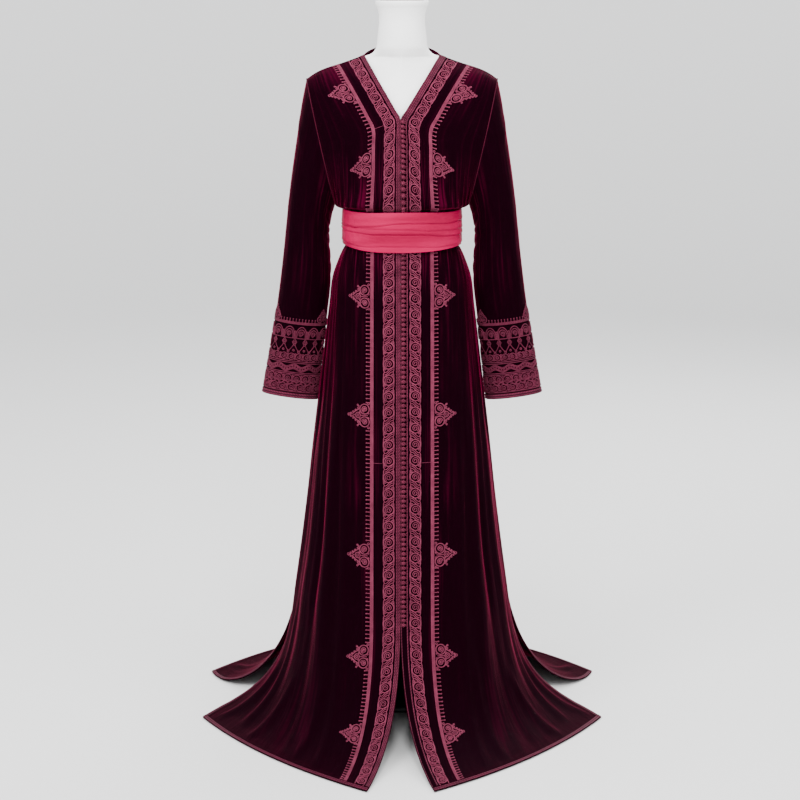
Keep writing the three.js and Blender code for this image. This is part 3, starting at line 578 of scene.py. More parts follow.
@dataclass(frozen=True)
class Velvet(Finish):
    """Silk velvet: a deep pile with streaks that are partly brushed pile and partly painted sheen, a soft crush and a
    coloured sheen.

    Attributes:
        sheen: the pile's colour at a low angle.
        gather_z: height of the painted highlight on the gathered velvet over the sash, in metres.
        gathers: how fast that painted highlight ends up and down, and sideways, for each metre.
        shoulders: heights between which the painted highlight on the shoulders' streaks begins, in metres.
    """

    sheen: Colour = (0.75, 0.006, 0.13)
    gather_z: float = 1.055
    gathers: tuple[float, float] = (6.0, 5.4)
    shoulders: tuple[float, float] = (1.325, 1.375)

    def make(self, graph: Graph) -> bpy.types.Material:
        """Streaks run down the cloth, partly brushed pile and partly painted sheen along the folds, with painted
        highlights on the velvet by the sash and on the shoulders, and fewer streaks towards the floor as painted
        shade; fine noise is the pile.

        Args:
            graph: an empty graph.

        Returns:
            The material.
        """
        cloth, place = graph.cloth(), graph.place()
        fine, broad, patch, sharp, crush = (
            graph.noise(graph.scaled(cloth, (across, along, 1)), 1.0, detail)
            for across, along, detail in ((150, 5, 3.0), (32, 2.4, 2.0), (11, 3.2, 2.0), (320, 7, 2.0), (90, 9, 3.0))
        )
        x, _, z = graph.parts(place)
        # Painted highlight: lighter streaks on the gathered velvet just over and under the sash, fading sideways.
        rise, spread = self.gathers
        waist_highlight = graph.band(((z - self.gather_z) * rise) ** 2, 1.0, 0.0) * graph.band((x * spread) ** 2, 1.0, 0.7)
        # Painted shade: the streaks fade towards the floor, so the lower skirt is darker.
        sheen_by_height = graph.band(z, 0.1, 0.8) * 0.6 + 0.4
        # Streaks down the cloth, partly brushed pile and partly painted sheen along the folds.
        streaks_and_sheen = graph.band(fine * 0.5 + broad * 0.5, 0.5, 0.78) * graph.band(patch, 0.36, 0.62) * sheen_by_height
        streaks_and_sheen = streaks_and_sheen + graph.band(sharp * 0.8 + broad * 0.2, 0.5, 0.64) * waist_highlight * 0.75
        # Painted highlight: lighter streaks along the tops of the shoulders.
        shoulder = graph.band(z, *self.shoulders)
        streaks_and_sheen = (streaks_and_sheen + graph.band(patch * 0.6 + fine * 0.4, 0.42, 0.62) * shoulder * 0.6).clamp()
        pile = graph.noise(place, 950.0, 2.0)
        return graph.close({
            "Base Color": graph.mix((streaks_and_sheen * (0.5 + pile * 0.8)).clamp(), self.dark, self.light),
            "Roughness": 0.62 + pile * 0.2, "Normal": graph.bump(pile, 0.0005, 0.5, graph.bump(crush, 0.004, 0.4)),
            "Specular IOR Level": 0.015, "Specular Tint": (0.4, 0.01, 0.12, 1), "Sheen Weight": 0.36,
            "Sheen Roughness": 0.26, "Sheen Tint": (*self.sheen, 1),
        })


@dataclass(frozen=True)
class Corded(Finish):
    """Twisted silk: strands wind round each cord, with painted shade between the strands and between cords side by
    side.

    Attributes:
        twist: length of one turn of the strands, in metres.
        around: whether V counts turns round one cord; otherwise it counts cords side by side.
    """

    twist: float = 0.0028
    around: bool = True

    def make(self, graph: Graph) -> bpy.types.Material:
        """The strands' height is a sine of the run along the cord plus the place round it; the same sine darkens the
        colour between the strands as painted shade.

        Args:
            graph: an empty graph.

        Returns:
            The material.
        """
        turns = METRE * math.pi
        run, turn, _ = graph.parts(graph.cloth())
        lead = turn * (2 * turns)
        # The strands' sine also darkens the colour between the strands, a painted shade.
        strands = (run * (2 * math.pi / self.twist) + lead).sine() * 0.5 + 0.5
        # Painted shade: a flat braid's colour darkens in the hollows between its cords.
        groove_shade = 1.0 if self.around else graph.band((turn * turns).sine() ** 2, 0.02, 0.45)
        worn = graph.noise(graph.place(), 60.0, 3.0)
        fibres = graph.noise(graph.place(), 1400.0, 1.0)
        shade = (strands * 0.5 + fibres * 0.35 + worn * 0.8 - 0.42).clamp() * groove_shade
        return graph.close({
            "Base Color": graph.mix(shade, self.dark, self.light), "Roughness": 0.52 + worn * 0.25,
            "Normal": graph.bump(strands * 0.8 + fibres * 0.3, 0.0004, 0.7),
            "Specular IOR Level": 0.2, "Specular Tint": (0.9, 0.12, 0.28, 1), "Sheen Weight": 0.2,
            "Sheen Roughness": 0.4, "Sheen Tint": (*self.light, 1),
        })


@dataclass(frozen=True)
class Satin(Finish):
    """Satin-backed crepe: fine weft lines, a cloudy lustre and small soft wrinkles.

    Attributes:
        weft: distance between two weft lines, in metres.
    """

    weft: float = 0.0006

    def make(self, graph: Graph) -> bpy.types.Material:
        """The weave is a sine across the sash; long noise makes the lustre and the wrinkles.

        Args:
            graph: an empty graph.

        Returns:
            The material.
        """
        _, height, _ = graph.parts(graph.cloth())
        weave = (height * (2 * math.pi / self.weft)).sine() * 0.5 + 0.5
        place = graph.place()
        lustre, wrinkles = (graph.noise(graph.scaled(place, scale), 1.0, 3.0) for scale in ((6, 6, 40), (14, 14, 60)))
        return graph.close({
            "Base Color": graph.mix(graph.band(lustre, 0.3, 0.7), self.dark, self.light),
            "Roughness": 0.34 + lustre * 0.2,
            "Normal": graph.bump(weave, 0.0001, 0.3, graph.bump(wrinkles, 0.003, 0.5)),
            "Specular IOR Level": 0.12, "Specular Tint": (1.0, 0.1, 0.34, 1), "Anisotropic": 0.4,
            "Sheen Weight": 0.08, "Sheen Roughness": 0.35, "Sheen Tint": (*self.light, 1),
        })


@dataclass(frozen=True)
class Hard(Finish):
    """A smooth shell, a stained wood or a painted metal.

    Attributes:
        grain: scale of the pattern on each axis, per metre.
        rough: roughness.
        metal: share of metal.
        relief: height of the pattern, in metres.
        rise: height over which the colour turns from dark to light, in metres, a painted light that brightens the
            surface higher up; 0 leaves it to the grain.
    """

    grain: Spot = (40, 40, 40)
    rough: float = 0.4
    metal: float = 0.0
    relief: float = 0.0001
    rise: float = 0.0

    def make(self, graph: Graph) -> bpy.types.Material:
        """A noise with the grain's stretch tints and roughens the surface.

        Args:
            graph: an empty graph.

        Returns:
            The material.
        """
        place = graph.place()
        grain = graph.noise(graph.scaled(place, self.grain), 1.0, 4.0)
        dust = graph.noise(place, 9.0, 3.0)
        shade = graph.band(grain * 0.7 + dust * 0.3, 0.35, 0.65)
        # With a rise, painted light: the colour grows lighter with height, up the floor's curved rim.
        if self.rise:
            shade = graph.band(graph.parts(place)[2] + 0.35 * self.rise, 0.0, self.rise)
        return graph.close({
            "Base Color": graph.mix(shade, self.dark, self.light), "Metallic": self.metal,
            "Roughness": self.rough - 0.06 + dust * 0.14, "Normal": graph.bump(grain, self.relief, 0.6),
        })


# The velvet's dark colour is the plain pile; its light colour is a painted sheen, laid where the streaks are.
VELVET = Velvet("silk_velvet", "velvet", (0.0042, 0.0002, 0.0018), (0.052, 0.0007, 0.012))
# The seam cord is coloured lighter than the velvet: a painted highlight along the armhole seam.
SEAM_HIGHLIGHT = Corded("seam_cord", "velvet", (0.010, 0.001, 0.003), (0.065, 0.006, 0.018))
CORD = Corded("couched_cord", "cord", (0.05, 0.008, 0.017), (0.265, 0.05, 0.096))
CUFF_CORD = Corded("cuff_cord", "cord", (0.026, 0.0035, 0.009), (0.175, 0.030, 0.061))
BRAID = Corded("plaited_braid", "braid", (0.007, 0.001, 0.003), (0.175, 0.03, 0.062), 0.0062, False)
HEM = Corded("plaited_hem", "braid", (0.008, 0.001, 0.003), (0.135, 0.016, 0.042), 0.0062, False)
BUTTON = Corded("knotted_silk", "cord", (0.028, 0.004, 0.01), (0.165, 0.027, 0.054), 0.0030)
SATIN = Satin("satin_crepe", "satin", (0.235, 0.0015, 0.030), (0.385, 0.003, 0.056))
SHELL_WHITE = Hard("white_form_shell", "form_white", (0.93, 0.925, 0.92), (0.96, 0.955, 0.95), (30, 30, 30), 0.42)
WOOD = Hard("stained_cap_wood", "cap_wood", (0.028, 0.012, 0.007), (0.085, 0.04, 0.022), (25, 220, 25), 0.38)
METAL = Hard("dark_stand_paint", "stand_metal", (0.03, 0.03, 0.033), (0.06, 0.06, 0.065), (300, 300, 300), 0.4, 0.6)
# The floor is painted lighter up its curved rim, a painted light.
FLOOR = Hard("pale_studio_floor", "floor", (0.725, 0.725, 0.722), (0.95, 0.95, 0.945), (3, 3, 3), 0.85, rise=3.2)


# ------ cut pieces of velvet
BUTTON_LAP = 5.0  # the left front is this much wider, under the buttons
HALF_GAP = 0.15  # half the room between two cut pieces
POINT_ROW = 5  # row at the neck's lowest point
SLIT_ROW = 23  # row at which the side slits begin
LAST_ROW = 32  # the hem
FRONT_COLUMNS = 14  # parts across a front
BAND_COLUMNS = 5  # of these, the parts under its bands
BACK_COLUMNS = 10  # parts across half the back
NECK_X, NECK_Z = 80.0, 1408.0  # the neck's end of the shoulder seam
NAPE_Y, NAPE_Z = 62.0, 1430.0  # the middle of the back's neckline
NECK_SHARE = 0.38  # share of the back's top row that is neckline
TIP_X, TIP_Z = 202.0, 1357.0  # the armhole's top, at the shoulder's tip
UNDERARM_X, UNDERARM_Z = 143.0, 1092.0
ARMHOLE_DEPTH = 62.0
ARMHOLE_OUT = np.array([0.976, 0, -0.217])  # square to the armhole's plane, away from the body
DENSE = np.linspace(0, 1, 301)  # places on the curve that a row is measured along
FORWARD, BACKWARD = np.array([0.0, -1, 0]), np.array([0.0, 1, 0])

# Distances from a front's edge, across the cloth, of the bands that follow it.
BAND = {"braid": 12.0, "scroll_out": 37.0, "outer_in": 57.0, "outer_out": 75.0, "palmette": 123.0}

# Upper fronts: the edge's point, the place on the armhole in degrees, and how late the row drops.
FRONT_ROWS = (
    (80, 0, 1408, 0, 1.0), (66, -34, 1386, 18, 1.3), (50, -62, 1360, 36, 1.6), (30, -86, 1328, 56, 1.9),
    (11, -102, 1297, 76, 2.1), (0, -110, 1279, 92, 2.2), (0, -117, 1235, 112, 2.4), (0, -119, 1185, 134, 2.8),
    (0, -118, 1135, 156, 3.6), (0, -114, 1099, 180, 5.0),
)
# Upper back: the middle's Y and Z, the place on the armhole, the drop, and the share of the collar.
BACK_ROWS = (
    (64, 1418, 7, 0.7, 0.85), (74, 1398, 20, 1.2, 0.25), (84, 1366, 38, 1.6, 0), (92, 1328, 58, 1.9, 0),
    (98, 1282, 80, 2.2, 0), (101, 1235, 104, 2.4, 0), (101, 1180, 130, 2.8, 0), (99, 1132, 155, 3.6, 0),
    (96, 1099, 180, 5.0, 0),
)
# Level rings: Z, half width, front depth, back depth, how far the folds have opened.
RINGS = (
    (1085, 121, 103.5, 95, 0), (1064, 117, 100, 90, 0), (1040, 116, 99, 89, 0), (1014, 117, 100, 91, 0),
    (998, 123, 104, 96, 0.12), (974, 134, 113, 108, 0.22), (945, 145, 121, 120, 0.3), (880, 154, 135, 138, 0.42),
    (790, 165, 154, 153, 0.55), (690, 177, 176, 167, 0.7), (580, 190, 201, 182, 0.82), (470, 202, 227, 199, 0.92),
    (360, 216, 254, 217, 1.0), (260, 229, 283, 234, 1.0),
)
# Rows from the knee to the hem: the share of the fall, and how far the folds have opened.
DRAPE_STEPS = (
    (0.12, 0.95), (0.25, 0.85), (0.38, 0.7), (0.51, 0.55), (0.64, 0.42), (0.77, 0.3), (0.89, 0.15), (0.976, 0), (1, 0),
)
SWINGS = np.array([0.0] * len(FRONT_ROWS) + [ring[4] for ring in RINGS] + [swing for _, swing in DRAPE_STEPS])


@dataclass(frozen=True)
class Drape:
    """The fall from the knee to the hem: a second knee ring, then control points and hem points.

    Attributes:
        swell: the second ring's half width, depth, and height at the middle and at the side.
        floor: three points of the curve's second control line.
        hem: three points of the hem.
    """

    swell: tuple[float, float, float, float]
    floor: tuple[Spot, Spot, Spot]
    hem: tuple[Spot, Spot, Spot]


FRONT_DRAPE = Drape(
    (253, -345, 110, 20), ((19, -440, 24), (262, -318, REST), (345, 4, REST)),
    ((66, -608, REST), (296, -438, REST), (430, -185, REST)),
)
BACK_DRAPE = Drape(
    (258, 262, 70, 25), ((0, 335, REST), (280, 330, REST), (398, -22, REST)),
    ((0, 425, REST), (230, 425, REST), (438, 121, REST)),
)


@dataclass(frozen=True)
class Fold:
    """A broad fold of the skirt: place across it, drift by the hem, height and spread.

    Attributes:
        at: place across the piece, from 0 to 1.
        drift: how far it has moved sideways at the hem.
        height: height.
        spread: half width, as a share.
    """

    at: float
    drift: float
    height: float
    spread: float


@dataclass(frozen=True)
class Crease:
    """A crease along a line of rows and places; a negative height is a hollow.

    Attributes:
        rows: rows of its line, rising.
        places: places across the piece at those rows.
        height: height.
        width: half width.
    """

    rows: tuple[float, ...]
    places: tuple[float, ...]
    height: float
    width: float


def armhole(degrees: Array, facing: float) -> Array:
    """The armhole seam, an ellipse in a leaning plane, from the shoulder tip to the underarm.

    Args:
        degrees: places on it, 0 at the top and 180 at the underarm.
        facing: -1 for the front, 1 for the back.

    Returns:
        Its points, on the side of positive X.
    """
    angle = np.radians(degrees)
    rise = (1 + np.cos(angle)) / 2
    depth = facing * ARMHOLE_DEPTH * np.sin(angle)
    return stack(lerp(UNDERARM_X, TIP_X, rise), depth, lerp(UNDERARM_Z, TIP_Z, rise))


def quarter(half_x: float, depth: float, z: Number, s: Array) -> Array:
    """A quarter of a superellipse: sine and cosine of s quarter turns, to the power 2 / roundness.

    Args:
        half_x: half width.
        depth: depth, negative at the front.
        z: height.
        s: places from the middle, 0, to the side, 1.

    Returns:
        The points.
    """
    angle = s * np.pi / 2
    power = 2 / ROUNDNESS
    return stack(half_x * np.abs(np.sin(angle)) ** power, depth * np.abs(np.cos(angle)) ** power, z)


def parabola(points: tuple[Spot, Spot, Spot], s: Array) -> Array:
    """A quadratic Bezier curve of three points.

    Args:
        points: the three points.
        s: places on it, from 0 to 1.

    Returns:
        The points there.
    """
    a, b, c = (np.array(p, float) for p in points)
    s = s[:, None]
    return a * (1 - s) ** 2 + b * 2 * s * (1 - s) + c * s * s


def drape_line(drape: Drape, depth: float, s: Array, t: float) -> Array:
    """A row of the drape: a cubic Bezier from the knee ring over the second ring to the hem.

    Args:
        drape: the fall.
        depth: the knee ring's depth.
        s: places across.
        t: share of the fall.

    Returns:
        The points.
    """
    z, half_x = RINGS[-1][:2]
    half_b, depth_b, first_z, side_z = drape.swell
    lines = (
        quarter(half_x, depth, z, s), quarter(half_b, depth_b, lerp(first_z, side_z, s), s),
        parabola(drape.floor, s), parabola(drape.hem, s),
    )
    weights = ((1 - t) ** 3, 3 * t * (1 - t) ** 2, 3 * t * t * (1 - t), t**3)
    return sum(line * weight for line, weight in zip(lines, weights))


def measured(line: Array, widths: Array) -> Array:
    """Points of a line at given distances along it."""
    run = lengths_along(line, 0)
    return np.stack([np.interp(widths, run, line[:, k]) for k in range(3)], -1)


def neck_and_shoulder(s: Array) -> Array:
    """The back's top row: a quarter turn round the neck, then straight down the shoulder.

    Args:
        s: places from the back's middle, 0, to the shoulder's tip, 1.

    Returns:
        The points.
    """
    angle = np.clip(s / NECK_SHARE, 0, 1) * np.pi / 2
    rise = np.maximum(np.cos(angle), 0) ** 1.5
    neck = stack(NECK_X * np.sin(angle), NAPE_Y * np.cos(angle), lerp(NECK_Z, NAPE_Z, rise))
    out = np.clip((s - NECK_SHARE) / (1 - NECK_SHARE), 0, 1)
    shoulder = stack(lerp(NECK_X, TIP_X, out), 0, lerp(NECK_Z, TIP_Z, out))
    return np.where((s < NECK_SHARE)[:, None], neck, shoulder)


def rounded(points: Array, lift: float = 6.0, reach: float = 40.0) -> Array:
    """Rounds the shoulders: a sine of the place along the seam lifts it, and fades out below.

    Args:
        points: points of any shape (..., 3).
        lift: the greatest rise.
        reach: how far down it fades.

    Returns:
        The lifted points.
    """
    out = np.clip((np.abs(points[..., 0]) - NECK_X) / (TIP_X - NECK_X), 0, 1)
    below = lerp(NECK_Z, TIP_Z, out) - points[..., 2]
    rise = lift * np.sin(np.pi * out**2.2) * bell(below / reach)
    return stack(points[..., 0], points[..., 1], points[..., 2] + rise)


PANEL_STEP, TUBE_STEP = 38.0, 4.0  # the pattern's run from one column to the next


class Panel:
    """One cut piece of velvet: its face, its normals and where each point is on the cut."""

    def __init__(self, grid: Array, columns: Array, towards: Array, closed: bool = False) -> None:
        """Keeps a refined face.

        Args:
            grid: face points of shape (rows, columns, 3).
            columns: the column number of each column in the piece's own layout.
            towards: the side that the face is on.
            closed: whether the piece is a tube.
        """
        grid = rounded(grid)
        self.grid, self.columns, self.towards, self.closed = grid, columns, towards, closed
        self.rows = np.linspace(0, (len(grid) - 1) / FINE, len(grid))[:, None]
        self.normals = slope_normals(grid, towards, closed)

    def swell(self, height: Array) -> None:
        """Moves the face along its normals and renews them."""
        self.grid = self.grid + self.normals * height[..., None]
        self.normals = slope_normals(self.grid, self.towards, self.closed)

    def press(self, creases: tuple[Crease, ...], place: Array) -> None:
        """Lays creases: a bell across each line, which fades out at both of its ends.

        Args:
            creases: the creases.
            place: each column's place, in the units of the creases.
        """
        across = lengths_along(self.grid, 1)
        total = np.zeros(self.grid.shape[:2])
        for crease in creases:
            centre = np.interp(self.rows[:, 0], crease.rows, crease.places)
            run = np.stack([np.interp(c, place, line) for c, line in zip(centre, across)])[:, None]
            ends = min(1.5, (crease.rows[-1] - crease.rows[0]) / 2.5)
            fade = smooth((self.rows - crease.rows[0]) / ends) * smooth((crease.rows[-1] - self.rows) / ends)
            total += RELIEF * crease.height * bell((across - run) / crease.width) * fade
        self.swell(total)

    def lift_to_floor(self) -> None:
        """Keeps the face one cloth above the floor."""
        low, ease = self.grid[..., 2], 3.0
        eased = REST + ease * smooth((low - REST + ease) / (2 * ease)) ** 1.2
        self.grid[..., 2] = np.where(low < REST + ease, eased, low)
        self.normals = slope_normals(self.grid, self.towards, self.closed)

    def make(self, name: str, node: str, held: str, rests_on: list[str]) -> Piece:
        """Makes the cloth as a thin shell on its face.

        Args:
            name: the piece's name.
            node: the CAD node it stands for.
            held: how the cloth is held; not used.
            rests_on: what it lies on or hangs from; not used.

        Returns:
            The piece.
        """
        inner = self.grid - self.normals * (CLOTH - CLEAR)
        inner[..., 2] = np.maximum(inner[..., 2], CLEAR)
        loop = joined(self.grid, self.closed)
        run = lengths_along(loop, 0)
        across = self.columns * PANEL_STEP
        if self.closed:
            across = np.append(self.columns, len(self.columns)) * TUBE_STEP
        form = Form()
        form.shell(self.grid, inner, np.stack([np.broadcast_to(across, run.shape), run], -1), self.closed)
        piece = form.build(name, VELVET, node)
        width, length, area = flat_size(loop)
        LOG.info("%s: cut %.2f by %.2f m, %.3f square metres", name, width, length, area)
        return piece


def folded(folds: tuple[Fold, ...], rows: Array, place: Array, sunk: float = 4.0) -> Array:
    """The skirt's broad folds: the sum of their bells less the sunk depth, times the row's swing.

    Args:
        folds: the folds.
        rows: row numbers, as a column.
        place: places across the piece, from 0 to 1.
        sunk: depth of the cloth between the folds.

    Returns:
        Heights off the smooth face, of shape (rows, places).
    """
    total = sum(f.height * bell((place - f.at - f.drift * rows / LAST_ROW) / f.spread) for f in folds)
    return (total - sunk) * SWINGS[rows.astype(int)]


@dataclass
class Front:
    """One front with its edge trim.

    Attributes:
        side: its side.
        folds: the broad folds.
        creases: the creases.
        steps: mesh columns between two columns of the cut.
        lap: how much wider its bands lie, for the buttons.
        panel: its face.
        widths: each row's distances from the edge.
    """

    side: Side
    folds: tuple[Fold, ...]
    creases: tuple[Crease, ...]
    steps: int = 6
    lap: float = field(init=False)
    panel: Panel = field(init=False)
    widths: Array = field(init=False)

    def __post_init__(self) -> None:
        """Works out the face."""
        self.lap = BUTTON_LAP if self.side is Side.LEFT else 0.0
        lines = []
        for x, y, z, angle, flat in FRONT_ROWS:
            seam = armhole(np.array(float(angle)), -1)
            lines.append(stack(lerp(x, seam[0], DENSE), lerp(y, seam[1], DENSE**flat), lerp(z, seam[2], DENSE)))
        lines += [quarter(half_x, -depth, z, DENSE) for z, half_x, depth, _, _ in RINGS]
        lines += [drape_line(FRONT_DRAPE, -RINGS[-1][2], DENSE, t) for t, _ in DRAPE_STEPS]
        columns = np.linspace(0, FRONT_COLUMNS, FRONT_COLUMNS * self.steps + 1)
        place = (columns - BAND_COLUMNS) / (FRONT_COLUMNS - BAND_COLUMNS)
        grid, widths = [], []
        for r, line in enumerate(lines):
            layout = self.layout(lengths_along(line, 0)[-1], r)
            width = np.interp(columns, np.arange(FRONT_COLUMNS + 1), layout)
            points = measured(line, width)
            points[:, 0] = self.side.value * (points[:, 0] + HALF_GAP * (columns == 0))
            points[:, 0] += CLOSURE_X * (1 - columns / FRONT_COLUMNS) * min(1, r / POINT_ROW)
            grid.append(points)
            widths.append(width)
        rows = np.arange(len(lines), dtype=float)[:, None]
        grid = np.array(grid)
        grid += slope_normals(grid, FORWARD) * self.fold_height(rows, place)[..., None]
        self.panel = Panel(refine(grid, FINE), columns, FORWARD)
        self.widths = between(np.array(widths), FINE)
        self.panel.press(self.creases, place)
        self.panel.lift_to_floor()

    def layout(self, length: float, row: int) -> Array:
        """Places of the columns: the bands' borders, then the plain cloth in even parts.

        Args:
            length: the row's whole width.
            row: its number.

        Returns:
            A distance from the edge for each column.
        """
        plain = FRONT_COLUMNS - BAND_COLUMNS
        braid, scroll, inner, outer, palmette = BAND.values()
        outer += self.lap
        palmette = min(palmette + self.lap, lerp(outer, length, 0.6))
        end = length - HEM_BRAID if row >= SLIT_ROW else lerp(palmette, length, 1 - 1 / plain)
        bands = [0, braid + self.lap / 5, scroll + self.lap, inner + self.lap, outer]
        return np.array([*bands, *np.linspace(palmette, end, plain), length])

    def fold_height(self, rows: Array, place: Array) -> Array:
        """Bells across the skirt less the sunk depth, times the row's swing, faded at both borders.

        Args:
            rows: row numbers, as a column.
            place: places across the plain cloth, from 0 to 1.

        Returns:
            Heights, of shape (rows, places).
        """
        window = smooth(place / 0.12) * smooth((1 - place) / 0.14) * ((place > 0) & (place < 1))
        height = folded(self.folds, rows, place) * window
        lying = np.where(rows > SLIT_ROW + 5, 0.5, 1.0)
        return np.where(rows > SLIT_ROW, np.maximum(0, height) * lying, height)

    def field(self, reach: float = 150.0) -> Field:
        """The face as a field: along is the run of the outer band's middle line.

        Args:
            reach: how far from the edge it goes.

        Returns:
            The field.
        """
        across = np.arange(0, reach + 1, 1.5)
        both = np.concatenate([self.panel.grid, self.panel.normals], -1)
        values = np.array([
            np.stack([np.interp(across, width, part) for part in line.T], -1) for width, line in zip(self.widths, both)
        ])
        points, normals = values[..., :3], values[..., 3:]
        middle = np.searchsorted(across, (BAND["outer_in"] + BAND["outer_out"]) / 2 + self.lap, "right") - 1
        return Field(points, normals, lengths_along(points, 0)[:, middle], across)


@dataclass
class Back:
    """The whole back, cut in one.

    Attributes:
        folds: the broad folds.
        creases: the creases.
        steps: mesh columns between two columns of the cut.
        panel: its face.
    """

    folds: tuple[Fold, ...]
    creases: tuple[Crease, ...]
    steps: int = 7
    panel: Panel = field(init=False)

    def __post_init__(self) -> None:
        """Works out the face, one half and its mirror image."""
        halves = [neck_and_shoulder(DENSE)]
        for y, z, angle, flat, neck in BACK_ROWS:
            seam, tip = armhole(np.array(float(angle)), 1), armhole(np.array(0.0), 1)
            plain = stack(lerp(0, seam[0], DENSE), lerp(y, seam[1], DENSE**flat), lerp(z, seam[2], DENSE))
            collar = neck_and_shoulder(DENSE) + (seam - tip) * DENSE[:, None]
            collar[:, 2] += (1 - DENSE) * (z - NAPE_Z)
            halves.append(lerp(plain, collar, (neck * (1 - DENSE**3))[:, None]))
        halves += [quarter(half_x, depth, z, DENSE) for z, half_x, _, depth, _ in RINGS]
        halves += [drape_line(BACK_DRAPE, RINGS[-1][3], DENSE, t) for t, _ in DRAPE_STEPS]
        parts = BACK_COLUMNS
        half = np.linspace(0, parts, parts * self.steps + 1)
        grid = []
        for r, line in enumerate(halves):
            length = lengths_along(line, 0)[-1]
            end = length - HEM_BRAID if r >= SLIT_ROW else length * (1 - 1 / parts)
            layout = [*np.linspace(0, end, parts), length]
            points = measured(line, np.interp(half, np.arange(parts + 1), layout))
            points[:, 1] += HALF_GAP * ((half == parts) | ((r == 0) & (points[:, 1] < HALF_GAP)))
            grid.append(np.concatenate([points[::-1] * [-1, 1, 1], points[1:]]))
        columns = np.concatenate([parts - half[::-1], parts + half[1:]])
        grid, rows, place = np.array(grid), np.arange(len(halves), dtype=float)[:, None], columns / (2 * parts)
        grid += slope_normals(grid, BACKWARD) * self.fold_height(rows, place)[..., None]
        self.panel = Panel(refine(grid, FINE), columns, BACKWARD)
        self.panel.press(self.creases, place)
        self.panel.lift_to_floor()

    def fold_height(self, rows: Array, place: Array) -> Array:
        """Bells across the skirt less the sunk depth, times the row's swing, faded at both borders.

        Args:
            rows: row numbers, as a column.
            place: places across the back, from 0 to 1.

        Returns:
            Heights, of shape (rows, places).
        """
        height = folded(self.folds, rows, place) * smooth(place / 0.06) * smooth((1 - place) / 0.06)
        return np.where(rows > SLIT_ROW, np.maximum(0, height) * 0.7, height)

    def field(self) -> Field:
        """The face as a field: along is the row number and across the column number."""
        return Field(self.panel.grid, self.panel.normals, self.panel.rows[:, 0], self.panel.columns)


CUFF_HEIGHT = 190.0  # height of the embroidered part of a sleeve, and a little over

# Sleeve sections: outer X and Z, inner X and Z, half depth, the middle's Y.
SLEEVE_ROWS = np.array((
    (202, 1357, 143, 1092, 62, 0), (212, 1310, 147, 1079, 60, 0), (220, 1258, 151, 1064, 58, -2),
    (229, 1200, 154, 1046, 57, -4), (238, 1138, 155, 1024, 56, -6), (245, 1078, 154, 996, 55, -8),
    (252, 1012, 152, 962, 54, -10), (260, 945, 154, 918, 50, -12), (270, 873, 161, 860, 44, -13),
    (279, 820, 167, 807, 39, -14), (290, 758, 174.5, 744, 34, -15), (301, 698, 181, 682, 31, -16),
    (303.5, 686, 182.5, 670, 30.5, -16),
), float)


@dataclass(frozen=True)
class SleeveCrease:
    """A sleeve's crease: place round and along it, slant in rows per radian, height, widths.

    Attributes:
        angle: place round the sleeve, in degrees from its outer line.
        row: place along it.
        slant: rows for each radian.
        height: height.
        reach: half length, in radians.
        width: half width, in rows.
    """

    angle: float
    row: float
    slant: float
    height: float
    reach: float
    width: float


@dataclass
class Sleeve:
    """One sleeve, a tube of leaning sections from the armhole to the cuff.

    Attributes:
        side: its side.
        creases: the creases.
        columns: mesh columns round it.
        hollows: each long hollow's angle, depth and half width in degrees.
        panel: its face.
    """

    side: Side
    creases: tuple[SleeveCrease, ...]
    columns: int = 96
    hollows: tuple[Spot, ...] = ((62, 3.5, 16), (118, 2.5, 15), (238, 3, 16), (300, 3, 16))
    panel: Panel = field(init=False)

    def __post_init__(self) -> None:
        """Works out the face: ellipses between outer and inner points, with long hollows."""
        angle = 2 * np.pi * np.arange(self.columns) / self.columns
        out = (1 + np.cos(angle)) / 2
        outer_x, outer_z, inner_x, inner_z, depth, middle_y = SLEEVE_ROWS.T[:, :, None]
        grid = stack(lerp(inner_x, outer_x, out), middle_y - depth * np.sin(angle), lerp(inner_z, outer_z, out))
        grid[0] += ARMHOLE_OUT * HALF_GAP
        grid[..., 0] *= self.side.value
        outwards = np.array([self.side.value, 0.0, 0])
        self.panel = Panel(refine(grid, FINE), np.arange(self.columns, dtype=float), outwards, True)
        rows, degrees = self.panel.rows, np.degrees(angle)
        still = smooth(rows / 4) * (1 - smooth((rows - 6) / 2.5))
        height = -still * sum(depth * bell((degrees - at) / spread) for at, depth, spread in self.hollows)
        for crease in self.creases:
            turn = (angle - math.radians(crease.angle) + np.pi) % (2 * np.pi) - np.pi
            line = bell((rows - crease.row - crease.slant * turn) / crease.width)
            height = height + crease.height * line * bell(turn / crease.reach)
        self.panel.swell(height * smooth(rows) * (1 - smooth((rows - 8.0) / 0.9)))

    def field(self) -> Field:
        """The face as a field: along is the distance above the hem, across the girth's share in degrees.

        Returns:
            The field.
        """
        grid, normals = joined(self.panel.grid)[::-1], joined(self.panel.normals)[::-1]
        run = lengths_along(grid, 0).mean(1)
        girths = lengths_along(grid[run < CUFF_HEIGHT], 1)
        return Field(grid, normals, run, (girths / girths[:, -1:] * 360).mean(0), True)


# ------ couched cords
def circle(radius: float, points: int = 22) -> Array:
    """A closed ring of points: cosine and sine of the turn."""
    turn = 2 * np.pi * np.arange(points) / points
    return radius * np.stack([np.cos(turn), np.sin(turn)], -1)


def spiral(outer: float, inner: float, turns: float, start: float = 0.0, points: int = 34) -> Array:
    """A spiral: the radius falls evenly from outer to inner while the angle runs its turns.

    Args:
        outer: radius at its start.
        inner: radius at its end.
        turns: how far it winds.
        start: angle at its start.
        points: number of points.

    Returns:
        The points.
    """
    share = np.linspace(0, 1, points)
    angle = start + 2 * np.pi * turns * share
    return lerp(outer, inner, share)[:, None] * np.stack([np.cos(angle), np.sin(angle)], -1)


